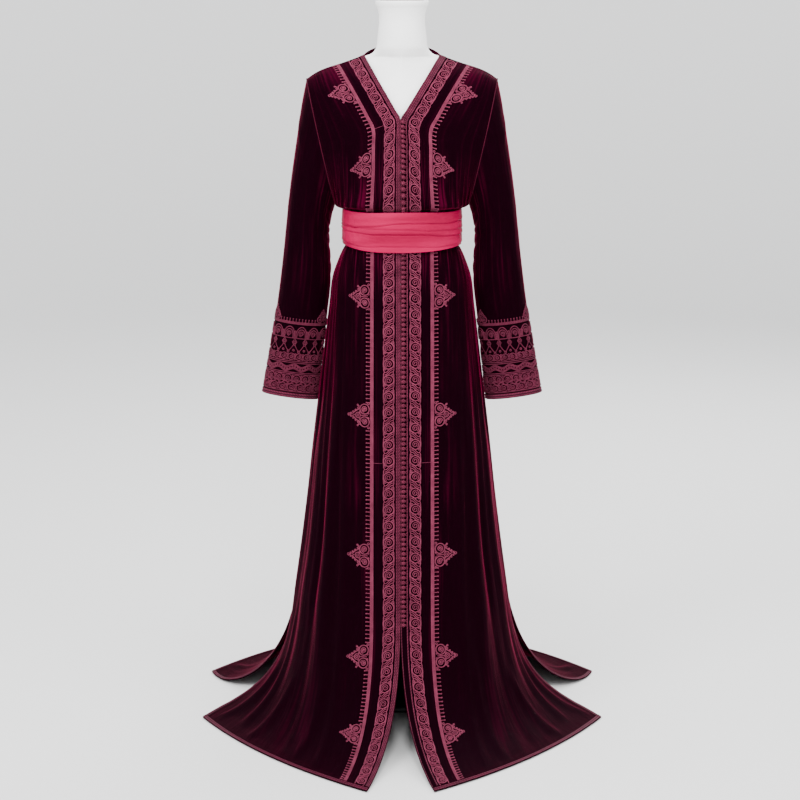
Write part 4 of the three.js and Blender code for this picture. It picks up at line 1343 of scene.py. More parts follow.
def bow(a: tuple[float, float], b: tuple[float, float], bulge: float, points: int = 12) -> Array:
    """A bowed line from a to b: a sine of its run, square to it.

    Args:
        a: its start.
        b: its end.
        bulge: how far its middle stands off.
        points: number of points.

    Returns:
        The points.
    """
    t = np.linspace(0, 1, points)[:, None]
    a, b = np.array(a, float), np.array(b, float)
    square = np.array([a[1] - b[1], b[0] - a[0]])
    return lerp(a, b, t) + square / max(np.hypot(*square), 1e-6) * bulge * np.sin(np.pi * t)


def ess(length: float, sway: float, lean: float, points: int = 16) -> Array:
    """An S-shaped line that leans: its run along a slanting line plus a full sine across it."""
    t = np.linspace(-1, 1, points)
    return np.stack([t * length / 2 * math.cos(lean) + sway * np.sin(np.pi * t), t * length / 2 * math.sin(lean)], -1)


# A diamond's corners and the middles of its sides.
DIAMOND = np.array([
    [7.6, 0], [3.8, 2.4], [0, 4.8], [-3.8, 2.4], [-7.6, 0], [-3.8, -2.4], [0, -4.8], [3.8, -2.4],
])
# Picots: the run and the thickness of a bar with a knobbed tip.
PICOT_RUN = np.array([0, 0.66, 0.76, 0.86, 0.95, 1.0])
PICOT_THICKNESS = np.array([1.0, 1.0, 1.35, 1.85, 1.5, 0.5])
CUFF_PICOT_RUN = np.array([0, 0.4, 0.7, 0.85, 0.95, 1.0])
CUFF_PICOT_THICKNESS = np.array([0.9, 0.9, 0.9, 1.5, 1.4, 0.5])


@dataclass
class Needle:
    """Lays cords on a cloth: shapes in millimetres, as (along, across) pairs, round many centres.

    Attributes:
        field: the cloth's face.
        form: the form that the cords join.
        base: height of the cords' underside off the face.
        scale: the field's units across for a millimetre.
    """

    field: Field
    form: Form
    base: float = 0.15
    scale: float = 1.0

    def lay(self, shape: Array, centres: Array, radius: float, closed: bool = False, sides: int = 5) -> None:
        """Lays one shape round each centre as a round cord.

        Args:
            shape: the points of the shape.
            centres: the centres.
            radius: the cord's radius, or one for each point.
            closed: whether the cord joins its start.
            sides: corners of the cord's ring.
        """
        places = centres[:, None] + shape[None] * [1, self.scale]
        high = self.base + np.max(radius) * 0.8
        points, normals = self.field.place(places[..., 0], places[..., 1], high)
        self.form.tubes(points, normals, radius, sides, closed)

    def line(self, along: Array, across: Array, radius: float, sides: int = 6) -> None:
        """Lays one long cord through places."""
        points, normals = self.field.place(along, across, self.base + radius * 0.8)
        self.form.tubes(points[None], normals[None], radius, sides)

    def rings(self, shapes: Rings, centres: Array, radius: float) -> None:
        """Lays small closed rings round each centre.

        Args:
            shapes: each ring's place along and across, its radius and its points.
            centres: the centres.
            radius: the cord's radius.
        """
        for along, across, size, points in shapes:
            self.lay(circle(size, points) + [along, across], centres, radius, True)

    def knots(self, centres: Array, radius: float) -> None:
        """Small knots on the cloth.

        Args:
            centres: the centres.
            radius: a knot's radius.
        """
        points, normals = self.field.place(centres[:, 0], centres[:, 1], self.base + radius * 0.6)
        ahead, _ = self.field.place(centres[:, 0] + 1, centres[:, 1], self.base + radius * 0.6)
        self.form.knots(points, normals, unit(ahead - points), radius)


def arches(t: Array, humps: int, height: float = 1.2) -> Array:
    """The top of a flat braid: as many arches as it has cords, each the root of a sine."""
    return 0.6 + height * np.abs(np.sin(np.pi * humps * t)) ** 0.6


def ribbon(form: Form, face: Field, along: Array, across: Array, humps: int, height: float = 1.2) -> None:
    """A flat braid: its arched top and its flat underside, a little off the cloth.

    Args:
        form: the form it joins.
        face: the cloth's face.
        along: places along the cloth, of shape (n, m), with m across the ribbon.
        across: places across the cloth, of that shape.
        humps: number of cords side by side.
        height: their height.
    """
    t = np.linspace(0, 1, along.shape[1])
    outer, _ = face.place(along, across, arches(t, humps, height))
    inner, _ = face.place(along, across, CLEAR)
    uv = np.stack([lengths_along(outer, 0), np.broadcast_to(t * humps, along.shape)], -1)
    form.shell(outer, inner, uv)


def plait(face: Field, run: Array, band: tuple[float, float], crosswise: bool = False) -> Form:
    """A plait of two cords along an edge.

    Args:
        face: the cloth's face.
        run: places on the way of the plait.
        band: places of its two borders.
        crosswise: whether it runs across the cloth.

    Returns:
        A form that holds it.
    """
    form = Form()
    grids = np.meshgrid(run, np.linspace(*band, 15), indexing="ij")
    ribbon(form, face, *(grids[::-1] if crosswise else grids), 2)
    return form


def centres_of(along: Array, across: float) -> Array:
    """Centres in a row, as (along, across) pairs."""
    return np.stack([along, np.full(len(along), float(across))], -1)


# Distances along the front of the fine threads that tack its two bands together.
TACKS = {Side.RIGHT: (190.0, 906.0), Side.LEFT: (906.0,)}

# Rows on which the braids of the hem and of the side slits lie.
HEM_BAND = (LAST_ROW - 0.96, LAST_ROW - 0.03)
SLIT_RUN = np.linspace(SLIT_ROW + 0.1, LAST_ROW - 1.02, 90)


@dataclass
class FrontTrim:
    """All the trim of one front: edge braid, scroll band, outer band, palmettes, hem and slit.

    Attributes:
        front: the front.
        pitch: distance between two roundels.
        picot_pitch: distance between two picots.
        picot_length: a picot's length.
        palmettes: places of the palmettes along the outer band.
        curls: place, height and radius of the curls on a palmette's side.
    """

    front: Front
    pitch: float = 34.0
    picot_pitch: float = 8.5
    picot_length: float = 9.5
    palmettes: tuple[float, ...] = (96, 259, 557, 807, 1101, 1311, 1484)
    curls: tuple[Spot, ...] = ((15.6, 26.0, 2.9), (10.6, 32.4, 2.5), (6.6, 38.2, 2.2), (3.4, 43.4, 1.9))

    def build(self) -> list[Piece]:
        """Makes the pieces.

        Returns:
            The pieces.
        """
        side = self.front.side.label
        face = self.front.field()
        total = face.along[-1] - 13
        made = [self.edge(face, side), self.scrolls(face, side, total), self.outer(face, side, total)]
        made += [self.palmette(face, side, i, at) for i, at in enumerate(self.palmettes)]
        return made + self.hem_and_slit(side)

    def edge(self, face: Field, side: str) -> Piece:
        """The edge braid, three cords wide.

        Args:
            face: the cloth.
            side: the side's name.

        Returns:
            The piece.
        """
        form = Form()
        run = np.arange(1, face.along[-1] - 12.6, 4.0)
        point = np.interp(POINT_ROW, self.front.panel.rows[:, 0], face.along)
        borders = [(run, 0.3, 10.2, 3)]
        if self.front.side is Side.LEFT:
            neck, fly = run[run < point + 4], run[run > point]
            borders = [(neck, 0.3, 15.2, 4), (fly, 0.3, 2.4, 1), (fly, 12.0, 15.2, 1)]
        for part, low, high, humps in borders:
            along, across = np.meshgrid(part, np.linspace(low, high, humps * 7 + 1), indexing="ij")
            ribbon(form, face, along, across, humps)
        return form.build(f"plaited_edge_{side}", BRAID, f"edge_braid_{side}")

    def scrolls(self, face: Field, side: str, total: float) -> Piece:
        """Roundels with spirals, leaning S cords between them, and scalloped borders.

        Args:
            face: the cloth.
            side: the side's name.
            total: where the bands end.

        Returns:
            The piece.
        """
        form = Form()
        needle = Needle(face, form)
        middle = 25.4 + self.front.lap
        units = np.arange(self.pitch * 0.5, total - 12, self.pitch)
        centres = centres_of(units, middle)
        needle.lay(circle(10.6, 22), centres, 1.15, True)
        needle.lay(spiral(7.7, 1.4, 1.8, 0.6, 30), centres, 0.85)
        gaps = centres_of(units[:-1] + self.pitch / 2, middle)
        for shift in (-4.7, 0.0, 4.7):
            needle.lay(ess(21.0, 1.5, 1.0, 12) + [shift, 0], gaps, 0.9)
        for out in (-1, 1):
            needle.lay(spiral(2.9, 0.9, 1.2, 2.0, 16) + [-6.4 * out, 8.2 * out], gaps, 0.8)
            edge = np.arange(2, total, 1.8)
            turn = np.pi * (edge - units[0]) / self.pitch
            scallop = np.maximum(np.abs(np.cos(turn)), 0.8 * np.abs(np.cos(3 * turn)))
            needle.line(edge, middle + out * (8.9 + 2.7 * scallop), 0.95, 5)
        return form.build(f"scroll_cords_{side}", CORD, f"scroll_band_{side}")

    def outer(self, face: Field, side: str, total: float) -> Piece:
        """A stripe of three cords, with knob-tipped bars on its outer side.

        Args:
            face: the cloth.
            side: the side's name.
            total: where the bands end.

        Returns:
            The piece.
        """
        form = Form()
        low = BAND["outer_in"] + self.front.lap + 1
        run = np.arange(3, total, 4.0)
        along, across = np.meshgrid(run, np.linspace(low, low + 7.4, 19), indexing="ij")
        ribbon(form, face, along, across, 3, 1.1)
        bars = np.arange(6, total, self.picot_pitch)
        bars = bars[np.min(np.abs(bars[:, None] - np.array(self.palmettes)), 1) > 26]
        needle = Needle(face, form)
        bar = PICOT_RUN * self.picot_length
        needle.lay(np.stack([0 * bar, bar], -1), centres_of(bars, low + 7.0), PICOT_THICKNESS, sides=6)
        for at in TACKS[self.front.side]:
            needle.line(np.full(8, at), np.linspace(low - 18, low, 8), 0.4, 5)
        return form.build(f"picot_stripe_{side}", CORD, f"outer_band_{side}")

    def palmette(self, face: Field, side: str, number: int, at: float) -> Piece:
        """Two base roundels, a smaller one over them, nested arches edged with curls and a trefoil tip.

        Args:
            face: the cloth.
            side: the side's name.
            number: its number, from 0.
            at: its place along the outer band.

        Returns:
            The piece.
        """
        form = Form()
        needle = Needle(face, form)
        here = np.array([[at, BAND["outer_in"] + self.front.lap + 8.8]])
        for out in (-1, 1):
            base = here + [out * 13.4, 11.8]
            needle.lay(circle(10.4, 28), base, 1.25, True, 6)
            needle.lay(spiral(6.7, 1.2, 1.9, 1.6 if out > 0 else 0.2, 38), base, 1.0)
            needle.lay(bow((out * 12.6, 24.4), (out * 1.2, 40.0), -1.2 * out, 16), here, 1.05)
            for place, high, size in self.curls:
                needle.lay(spiral(size, 0.8, 1.2, 2.0 * out, 18) + [out * place, high], here, 0.95)
            needle.lay(bow((out * 19.0, 21.0), (out * 21.2, 26.2), 1.2 * out, 8), here, 1.2)
            needle.rings(((out * 21.4, 27.6, 1.5, 8),), here, 0.9)
            needle.rings(((out * 25.4, 3.0, 2.0, 10),), here, 0.95)
            needle.rings(((out * 5.2, 3.4, 1.7, 8), (out * 7.4, 22.4, 1.7, 8)), here, 0.9)
        needle.rings(((0, 27.0, 5.6, 18),), here, 1.05)
        needle.rings(((0, 27.0, 2.4, 10),), here, 0.9)
        needle.rings(((0, 48.2, 2.3, 10),), here, 0.95)
        needle.lay(bow((0, 5.0), (0, 20.5), 0.0, 8), here, 1.0)
        needle.knots(here + [[0, 36.0], [13.4, 11.8], [-13.4, 11.8], [0, 44.4]], 1.6)
        return form.build(f"palmette_cords_{side}_{number + 1}", CORD, f"palmette_{side}_{number + 1}")

    def hem_and_slit(self, side: str) -> list[Piece]:
        """The hem's braid and the side slit's braid, with a small looped ornament over the slit.

        Args:
            side: the side's name.

        Returns:
            The pieces.
        """
        panel = self.front.panel
        face = Field(panel.grid, panel.normals, panel.rows[:, 0], panel.columns)
        hem = plait(face, np.linspace(0.05, FRONT_COLUMNS - 0.04, 150), HEM_BAND, True)
        slit = plait(face, SLIT_RUN, (FRONT_COLUMNS - 0.96, FRONT_COLUMNS - 0.04))
        return [
            hem.build(f"hem_plait_front_{side}", HEM, f"hem_braid_front_{side}"),
            slit.build(f"slit_plait_front_{side}", HEM, f"slit_braid_front_{side}"),
            slit_ornament(face, f"slit_loops_{side}"),
        ]


def slit_ornament(face: Field, name: str) -> Piece:
    """A chain of loops over a side slit: three rings, a spiral and two knots on a short stem.

    Args:
        face: the cloth, by row and column.
        name: the piece's name.

    Returns:
        The piece.
    """
    form = Form()
    needle = Needle(face, form)
    column = FRONT_COLUMNS - 0.45
    for above, size in ((0.1, 0.04), (0.28, 0.035), (0.44, 0.03)):
        needle.lay(circle(size, 16) * [1.6, 5.6], np.array([[SLIT_ROW - above, column]]), 0.95, True)
    needle.line(np.linspace(SLIT_ROW - 0.55, SLIT_ROW + 0.05, 12), np.full(12, column), 1.0, 5)
    points, normals = face.place(np.array([SLIT_ROW - 0.6, SLIT_ROW + 0.08]), np.array([column, column]), 1.0)
    form.knots(points, normals, np.array([[0.0, 0, 1]] * 2), 2.2)
    return form.build(name, CORD, [])


@dataclass
class ButtonRow:
    """Knotted silk buttons with their loops, down the wearer's left front.

    Attributes:
        face: the cloth.
        first: distance along it of the first button.
        last: where the row ends.
        pitch: distance between two buttons.
        across: distance from the edge.
    """

    face: Field
    first: float
    last: float
    pitch: float = 10.0
    across: float = 5.6

    def build(self) -> Piece:
        """A ball with a turn of cord round it and a loop to each side, at every pitch.

        Returns:
            The piece.
        """
        form = Form()
        needle = Needle(self.face, form, 1.7)
        centres = centres_of(np.arange(self.first, self.last, self.pitch), self.across)
        needle.knots(centres, 4.1)
        needle.lay(circle(3.6, 14), centres, 0.9, True)
        share = np.linspace(0, 1, 11)
        sway, reach = 2.3 * np.sin(2 * np.pi * share) * (0.4 + share), 2.6 + 5.6 * np.sin(np.pi * share)
        for out in (-1, 1):
            needle.lay(np.stack([sway, out * reach], -1), centres, 0.75)
        return form.build("knotted_buttons", BUTTON, "button_column")


@dataclass
class BackTrim:
    """The back's trim: neckline, hem and slits."""

    back: Back

    def build(self) -> list[Piece]:
        """Makes the pieces.

        Returns:
            The pieces.
        """
        face, width = self.back.field(), 2 * BACK_COLUMNS
        neck = plait(face, BACK_COLUMNS + np.linspace(-3.25, 3.25, 70), (0.04, 0.8), True)
        hem = plait(face, np.linspace(0.05, width - 0.05, 260), HEM_BAND, True)
        made = [
            neck.build("neck_plait_back", BRAID, "neck_braid_back"),
            hem.build("hem_plait_back", HEM, "hem_braid_back"),
        ]
        for side, low in ((Side.RIGHT, 0.0), (Side.LEFT, width - 1.0)):
            slit = plait(face, SLIT_RUN, (low + 0.04, low + 0.96))
            made.append(slit.build(f"slit_plait_back_{side.label}", HEM, f"slit_braid_back_{side.label}"))
        return made


@dataclass
class CuffTrim:
    """One cuff's embroidery, in bands from its braid up to the picots and the palmette.

    Attributes:
        sleeve: the sleeve.
        girth: the girth that the shapes are drawn for.
        lines: heights of the plain cords above the hem.
    """

    sleeve: Sleeve
    girth: float = 300.0
    lines: tuple[float, ...] = (14.6, 53.2, 56.4, 77.6, 81.2, 132.0, 163.4, 165.4, 167.4)

    def ring_of(self, count: int, height: float, shift: float = 0.0) -> Array:
        """Centres evenly spaced round the cuff at a height above its hem."""
        return np.stack([np.full(count, height), (np.arange(count) + shift) * 360 / count], -1)

    def around(self, needle: Needle, height: float, radius: float = 0.95) -> None:
        """A cord once round the cuff.

        Args:
            needle: the cuff's needle.
            height: height above the hem.
            radius: the cord's radius.
        """
        turn = np.arange(96) * 360 / 96
        points, normals = needle.field.place(height, turn, needle.base + radius * 0.8)
        needle.form.tubes(points[None], normals[None], radius, 5, True)

    def build(self) -> list[Piece]:
        """Makes the embroidery and the braid.

        Returns:
            The pieces.
        """
        side = self.sleeve.side.label
        face = self.sleeve.field()
        form = Form()
        needle = Needle(face, form, 0.15, 360 / self.girth)
        for height in self.lines:
            self.around(needle, height)
        for band in (self.scroll_band, self.wave_band, self.roundel_band, self.star_band, self.arch_band, self.crest):
            band(needle)
        made = [form.build(f"cuff_cords_{side}", CUFF_CORD, f"cuff_band_{side}")]
        braid = Form()
        share = np.linspace(0, 1, 15)[:, None]
        along, across = np.meshgrid(lerp(0.4, 11.4, share[:, 0]), np.linspace(0, 360, 121), indexing="ij")
        outer, _ = face.place(along, across, arches(share, 2))
        inner, _ = face.place(along, across, CLEAR)
        uv = np.stack([lengths_along(outer, 1), np.broadcast_to(share * 2, along.shape)], -1)
        braid.shell(outer[:, :-1], inner[:, :-1], uv, True)
        made.append(braid.build(f"cuff_plait_{side}", BRAID, f"cuff_braid_{side}"))
        return made

    def wave(self, needle: Needle, middle: float, rise: float, count: int) -> None:
        """A cord round the cuff whose height is a sine with a whole number of waves.

        Args:
            needle: the cuff's needle.
            middle: its middle height.
            rise: how far it swings.
            count: number of waves.
        """
        turn = np.arange(120) * 360 / 120
        height = middle + rise * np.sin(np.radians(turn * count))
        points, normals = needle.field.place(height, turn, needle.base + 0.8)
        needle.form.tubes(points[None], normals[None], 0.95, 5, True)

    def scroll_band(self, needle: Needle) -> None:
        """Two staggered rows of roundels with spirals, two waves between them and rings in the gaps.

        Args:
            needle: the cuff's needle.
        """
        count, middle = 16, 33.8
        for height, shift in ((24.2, 0.0), (43.4, 0.5)):
            centres = self.ring_of(count, height, shift)
            needle.lay(circle(8.0, 18), centres, 1.05, True)
            needle.lay(spiral(5.5, 1.0, 1.7, 0.5 + 3 * shift, 22), centres, 0.95)
            gaps = self.ring_of(count, height, shift + 0.5)
            needle.rings(((-5.6, 0, 1.5, 8), (0, 0, 1.5, 8), (5.6, 0, 1.5, 8)), gaps, 0.85)
        for rise in (4.6, 2.2):
            self.wave(needle, middle, rise, count)

    def wave_band(self, needle: Needle) -> None:
        """A broad wave of four cords, with small rings along its middle.

        Args:
            needle: the cuff's needle.
        """
        middle, rise, count = 67.0, 3.2, 9
        for offset in (-5.2, -2.8, 2.8, 5.2):
            self.wave(needle, middle + offset, rise, count)
        centres = self.ring_of(54, middle)
        centres[:, 0] += rise * np.sin(np.radians(centres[:, 1] * count))
        needle.lay(circle(1.5, 8), centres, 0.85, True)

    def roundel_band(self, needle: Needle) -> None:
        """A fill of roundels with spirals, and leafy points of three rings between them.

        Args:
            needle: the cuff's needle.
        """
        count, middle = 18, 91.4
        centres = self.ring_of(count, middle)
        needle.lay(circle(7.2, 16), centres, 1.0, True)
        needle.lay(spiral(4.7, 1.0, 1.6, 0.0, 20), centres, 0.9)
        needle.rings(((-5.6, 0, 1.4, 8), (0, 0, 1.4, 8), (5.2, 0, 1.7, 8)), self.ring_of(count, middle, 0.5), 0.85)

    def star_band(self, needle: Needle) -> None:
        """Double diamonds on crossing stems, with a row of rings at the stems' feet.

        Args:
            needle: the cuff's needle.
        """
        count = 13
        stars = self.ring_of(count, 123.6)
        for share in (1.0, 0.45):
            needle.lay(DIAMOND * share, stars, 0.95, True)
        for out in (-1, 1):
            needle.lay(bow((-21.0, out * 12.0), (-6.2, out * 1.8), -1.0 * out, 10), stars, 0.85)
        needle.lay(circle(2.0, 10), self.ring_of(count, 105.4), 0.9, True)
        needle.lay(circle(2.2, 10), self.ring_of(count, 102.2, 0.5), 0.9, True)

    def arch_band(self, needle: Needle) -> None:
        """Nested arches that hold a spiral each, with three rings between them.

        Args:
            needle: the cuff's needle.
        """
        count = 11
        centres = self.ring_of(count, 132.6)
        angle = np.linspace(0, np.pi, 20)
        arch = np.stack([24.6 * np.sin(angle) ** 0.8, 12.2 * np.cos(angle)], -1)
        for share in (1.0, 0.78):
            needle.lay(arch * share, centres, 1.1)
        needle.lay(spiral(5.9, 1.2, 1.9, 3.1, 34) + [10.0, 0], centres, 1.0)
        needle.rings(((4.6, 0, 1.6, 8), (9.8, 0, 1.6, 8), (15.0, 0, 1.6, 8)), self.ring_of(count, 132.0, 0.5), 0.85)

    def crest(self, needle: Needle) -> None:
        """Picots over the top stripe, and a palmette near each fold, towards the front.

        Args:
            needle: the cuff's needle.
        """
        here = np.array([[168.6, 16.0], [168.6, 154.0]])
        bars = self.ring_of(42, 168.4, 0.3)
        away = np.abs(bars[:, 1, None] - here[:, 1]).min(1)
        bar = CUFF_PICOT_RUN * 7.0
        needle.lay(np.stack([bar, 0 * bar], -1), bars[away > 19], CUFF_PICOT_THICKNESS)
        for out in (-1, 1):
            base = here + [7.4, out * 7.6 * needle.scale]
            needle.lay(circle(6.4, 20), base, 1.05, True)
            needle.lay(spiral(3.7, 1.0, 1.4, 0.4, 20), base, 0.9)
            beads = (15.2, out * 8.4, 2.2, 10), (19.4, out * 5.2, 1.9, 10), (23.8, out * 2.8, 1.6, 10)
            needle.rings(beads, here, 0.9)
        needle.rings(((16.4, 0, 3.0, 12),), here, 0.95)
        needle.rings(((28.4, 0, 1.7, 8),), here, 0.9)
        needle.knots(here + [21.6, 0], 1.5)


# ------ sash and dress form
@dataclass
class Sash:
    """The wound sash: one soft wall round the waist with slanting pleats and fine wrinkles.

    Attributes:
        rows: mesh rows.
        columns: mesh columns.
        low: height of its lower edge.
        high: height of its upper edge.
        half_x: half its inner width.
        front: its inner depth at the front.
        back: its inner depth at the back.
        wall: thickness of the cloth.
        weave: the weave's run from edge to edge.
        pleats: each pleat's height at the wearer's right, middle and left, as a share, and its
            depth.
    """

    rows: int = 81
    columns: int = 144
    low: float = 1001.0
    high: float = 1083.5
    half_x: float = 124.5
    front: float = 109.5
    back: float = 98.0
    wall: float = 1.6
    weave: float = 82.0
    pleats: tuple[tuple[float, float, float, float], ...] = (
        (0.52, 0.71, 0.70, 1.9), (0.43, 0.45, 0.30, 2.3), (0.60, 0.56, 0.46, 1.2), (0.07, 0.14, 0.03, 1.3),
    )

    def build(self) -> Piece:
        """Makes the sash: a level ring grown by its wall, its rolled edges and its pleats.

        Returns:
            The piece.
        """
        t = np.linspace(0, 1, self.rows)[:, None]
        angle = (2 * np.pi * (np.arange(self.columns) + 0.5) / self.columns)[None]
        across = np.sin(angle)
        pleats = 0.0
        for right, middle, left, depth in self.pleats:
            line = lerp(middle, np.where(across > 0, left, right), np.abs(across) ** 1.3)
            line = line + 0.008 * np.sin(5 * angle + depth * 3) + 0.005 * np.sin(11 * angle + right * 20)
            d = t - line
            pleats = pleats - depth * bell(d / 0.016) + depth * 0.5 * bell((d - 0.045) / 0.05)
        wrinkles = 0.35 * np.sin(23 * angle + 9 * t + 2 * np.sin(3 * angle)) * bell((t - 0.6) / 0.3)
        wrinkles = wrinkles + 0.3 * np.sin(37 * angle - 14 * t + 3 * np.sin(2 * angle)) * bell((t - 0.25) / 0.25)
        edge = 1.3 * (1 - np.abs(2 * t - 1) ** 8)
        grow = self.wall + 1.5 + edge + pleats + wrinkles
        low = self.low + 1.2 * np.sin(3 * angle + 1) + 8 * np.abs(across) ** 3
        high = self.high + 1.0 * np.sin(4 * angle + 2)

        def ring(extra: Array) -> Array:
            """A superellipse ring that has grown by extra.

            Args:
                extra: how far each point has grown outwards.

            Returns:
                The ring's points.
            """
            power = 2 / ROUNDNESS
            depth = np.where(np.cos(angle) > 0, self.back, self.front)
            x = (self.half_x + extra) * np.sign(across) * np.abs(across) ** power
            y = (depth + extra) * np.sign(np.cos(angle)) * np.abs(np.cos(angle)) ** power
            return stack(x, y, lerp(low, high, t))

        outer, inner = ring(grow), ring(0 * grow)
        loop = joined(outer)
        height = np.broadcast_to(t * self.weave, loop.shape[:2])
        form = Form()
        form.shell(outer, inner, np.stack([lengths_along(loop, 1), height], -1), True)
        piece = form.build("wound_sash", SATIN, "sash")
        width, length, area = flat_size(loop)
        return piece


# Form sections: Z, half width, front depth, back depth, superellipse exponent.
FORM_ROWS = np.array((
    (770, 138, 98, 112, 2.2), (850, 140, 103, 116, 2.2), (925, 131, 97, 106, 2.2), (980, 117, 88, 90, 2.2),
    (1040, 107, 84, 77, 2.2), (1090, 111, 89, 80, 2.2), (1150, 132, 99, 84, 2.2), (1210, 150, 101, 86, 2.1),
    (1260, 163, 98, 86, 2.0), (1300, 174, 91, 83, 1.8), (1335, 182, 76, 76, 1.55), (1358, 186, 58, 60, 1.25),
    (1370, 164, 50, 50, 1.12), (1388, 121, 42, 42, 1.06), (1404, 82.6, 40, 42, 1.0), (1411, 64, 44, 46, 1.5),
    (1422, 55, 49, 50, 2), (1440, 52.5, 50, 50, 2), (1505, 52, 51, 51, 2), (1512, 55.5, 55, 55, 2),
    (1519, 56, 55.5, 55.5, 2), (1520, 55, 54.5, 54.5, 2),
), float)

# Turned pieces, as (radius, Z) pairs; close pairs ease the corners.
CAP_PROFILE = (
    (45.4, 1520.3), (46, 1520.9), (46, 1522.8), (45.2, 1524), (41, 1526.6), (39, 1527.2), (20, 1527.3),
)
POLE_PROFILE = ((14.6, 40.3), (15, 40.8), (15, 200), (15, 400), (15, 600), (15, 769), (14.6, 769.7))
STAND_PROFILE = (
    (148.5, 0), (150, 1.2), (150, 8.4), (149, 10.2), (145, 12), (90, 13.4), (36, 15), (33, 16.5), (23.5, 38.5),
    (21.5, 40),
)


@dataclass
class DressForm:
    """The limbless form: torso with neck, wooden neck cap, pole and round stand."""

    columns: int = 112

    def rings(self, profile: Array) -> Array:
        """Superellipse rings of a profile of Z, half width, front, back and exponent.

        Args:
            profile: a row of these for each ring.

        Returns:
            Points of shape (rings, columns, 3).
        """
        angle = (2 * np.pi * (np.arange(self.columns) + 0.5) / self.columns)[None]
        z, half_x, front, back, power = (profile[:, k : k + 1] for k in range(5))
        sin, cos = np.sin(angle), np.cos(angle)
        x = half_x * np.sign(sin) * np.abs(sin) ** (2 / power)
        y = np.where(cos > 0, back, front) * np.sign(cos) * np.abs(cos) ** (2 / power)
        return stack(x, y, z)

    def loft(self, rings: Array, name: str, finish: Finish, node: str) -> Piece:
        """A closed solid through rings, with a flat face at each end.

        Args:
            rings: points of shape (rings, columns, 3).
            name: the piece's name.
            finish: its finish.
            node: the CAD node it stands for.

        Returns:
            The piece.
        """
        form = Form()
        rows, columns = rings.shape[:2]
        index = np.arange(rows * columns).reshape(rows, columns)
        wide = joined(index)
        quads = np.stack([wide[:-1, :-1], wide[:-1, 1:], wide[1:, 1:], wide[1:, :-1]], -1).reshape(-1, 4)
        points = rings.reshape(-1, 3)
        caps = np.stack([index[0][::-1], index[-1]])
        form.add(points, [(quads, points[quads][..., [0, 2]]), (caps, points[caps][..., :2])])
        return form.build(name, finish, node)

    def lathe(self, profile: Profile, name: str, finish: Finish, node: str) -> Piece:
        """A turned piece: round rings of a profile.

        Args:
            profile: (radius, Z) pairs.
            name: the piece's name.
            finish: its finish.
            node: the CAD node it stands for.

        Returns:
            The piece.
        """
        pairs = np.array(profile, float)
        table = np.stack([pairs[:, 1], pairs[:, 0], pairs[:, 0], pairs[:, 0], np.full(len(pairs), 2.0)], -1)
        return self.loft(self.rings(table), name, finish, node)

    def build(self) -> list[Piece]:
        """Makes the four pieces.

        Returns:
            The pieces.
        """
        rows = refine(FORM_ROWS[:, None, :], 4)[:, 0]
        rows[:, 4] = np.clip(rows[:, 4], 1.0, 2.3)
        cloth = smooth((1425 - rows[:, 0]) / 20)
        rows[:, 1:4] -= 0.9 * cloth[:, None]
        return [
            self.loft(self.rings(rows), "form_shell", SHELL_WHITE, "form_torso"),
            self.lathe(CAP_PROFILE, "form_cap", WOOD, "form_neck_cap"),
            self.lathe(POLE_PROFILE, "form_column", METAL, "form_pole"),
            self.lathe(STAND_PROFILE, "form_foot", METAL, "form_stand"),
        ]


# ------ folds and creases, given one by one
RIGHT_FOLDS = (Fold(0.17, 0.05, 11, 0.085), Fold(0.46, 0.04, 9, 0.09), Fold(0.76, 0.02, 11, 0.085))
LEFT_FOLDS = (Fold(0.2, 0.02, 10, 0.085), Fold(0.52, 0.03, 11, 0.09), Fold(0.8, 0.0, 8, 0.08))
BACK_FOLDS = (
    Fold(0.1, 0, 9, 0.035), Fold(0.21, 0, 11, 0.035), Fold(0.335, 0.01, 9, 0.04), Fold(0.46, 0, 13, 0.04),
    Fold(0.585, 0, 11, 0.035), Fold(0.7, 0, 10, 0.04), Fold(0.81, 0, 12, 0.035), Fold(0.91, 0, 8, 0.03),
)
# Rows: 0 shoulder, 9 underarm, 12 waist, 14 under the sash, 23 knee, 32 hem.
RIGHT_CREASES = (
    Crease((13, 17, 21), (0.10, 0.11, 0.15), 2.6, 7), Crease((13, 16, 19), (0.24, 0.26, 0.28), 2.2, 6),
    Crease((13, 18, 24), (0.36, 0.36, 0.38), 3.2, 8), Crease((13, 16.5, 20), (0.55, 0.57, 0.58), 2.4, 7),
    Crease((13, 17, 22), (0.68, 0.68, 0.70), 2.6, 7), Crease((13, 16, 19), (0.86, 0.86, 0.86), 2.0, 6),
    Crease((17, 23, 31), (0.02, 0.03, 0.06), 3.0, 12), Crease((20, 26, 31), (0.34, 0.33, 0.31), -3.0, 13),
    Crease((19, 25, 30.5), (0.60, 0.62, 0.64), 4.4, 13), Crease((24, 28, 31), (0.12, 0.16, 0.2), 3.2, 10),
    Crease((25, 28, 31.3), (0.40, 0.47, 0.54), 4.0, 12), Crease((25, 29, 31.3), (0.72, 0.78, 0.84), 3.6, 12),
    Crease((5, 7, 10.5), (0.12, 0.10, 0.06), 1.6, 7), Crease((5.5, 8, 11), (0.42, 0.36, 0.26), 2.0, 7),
    Crease((6, 8, 11), (0.66, 0.6, 0.46), 2.2, 7), Crease((6.5, 8.5, 11), (0.86, 0.8, 0.66), 2.0, 6),
    Crease((1, 3, 5.5), (0.5, 0.62, 0.8), 1.6, 9), Crease((8.3, 9.4, 10.6), (0.95, 0.8, 0.7), 2.0, 6),
)
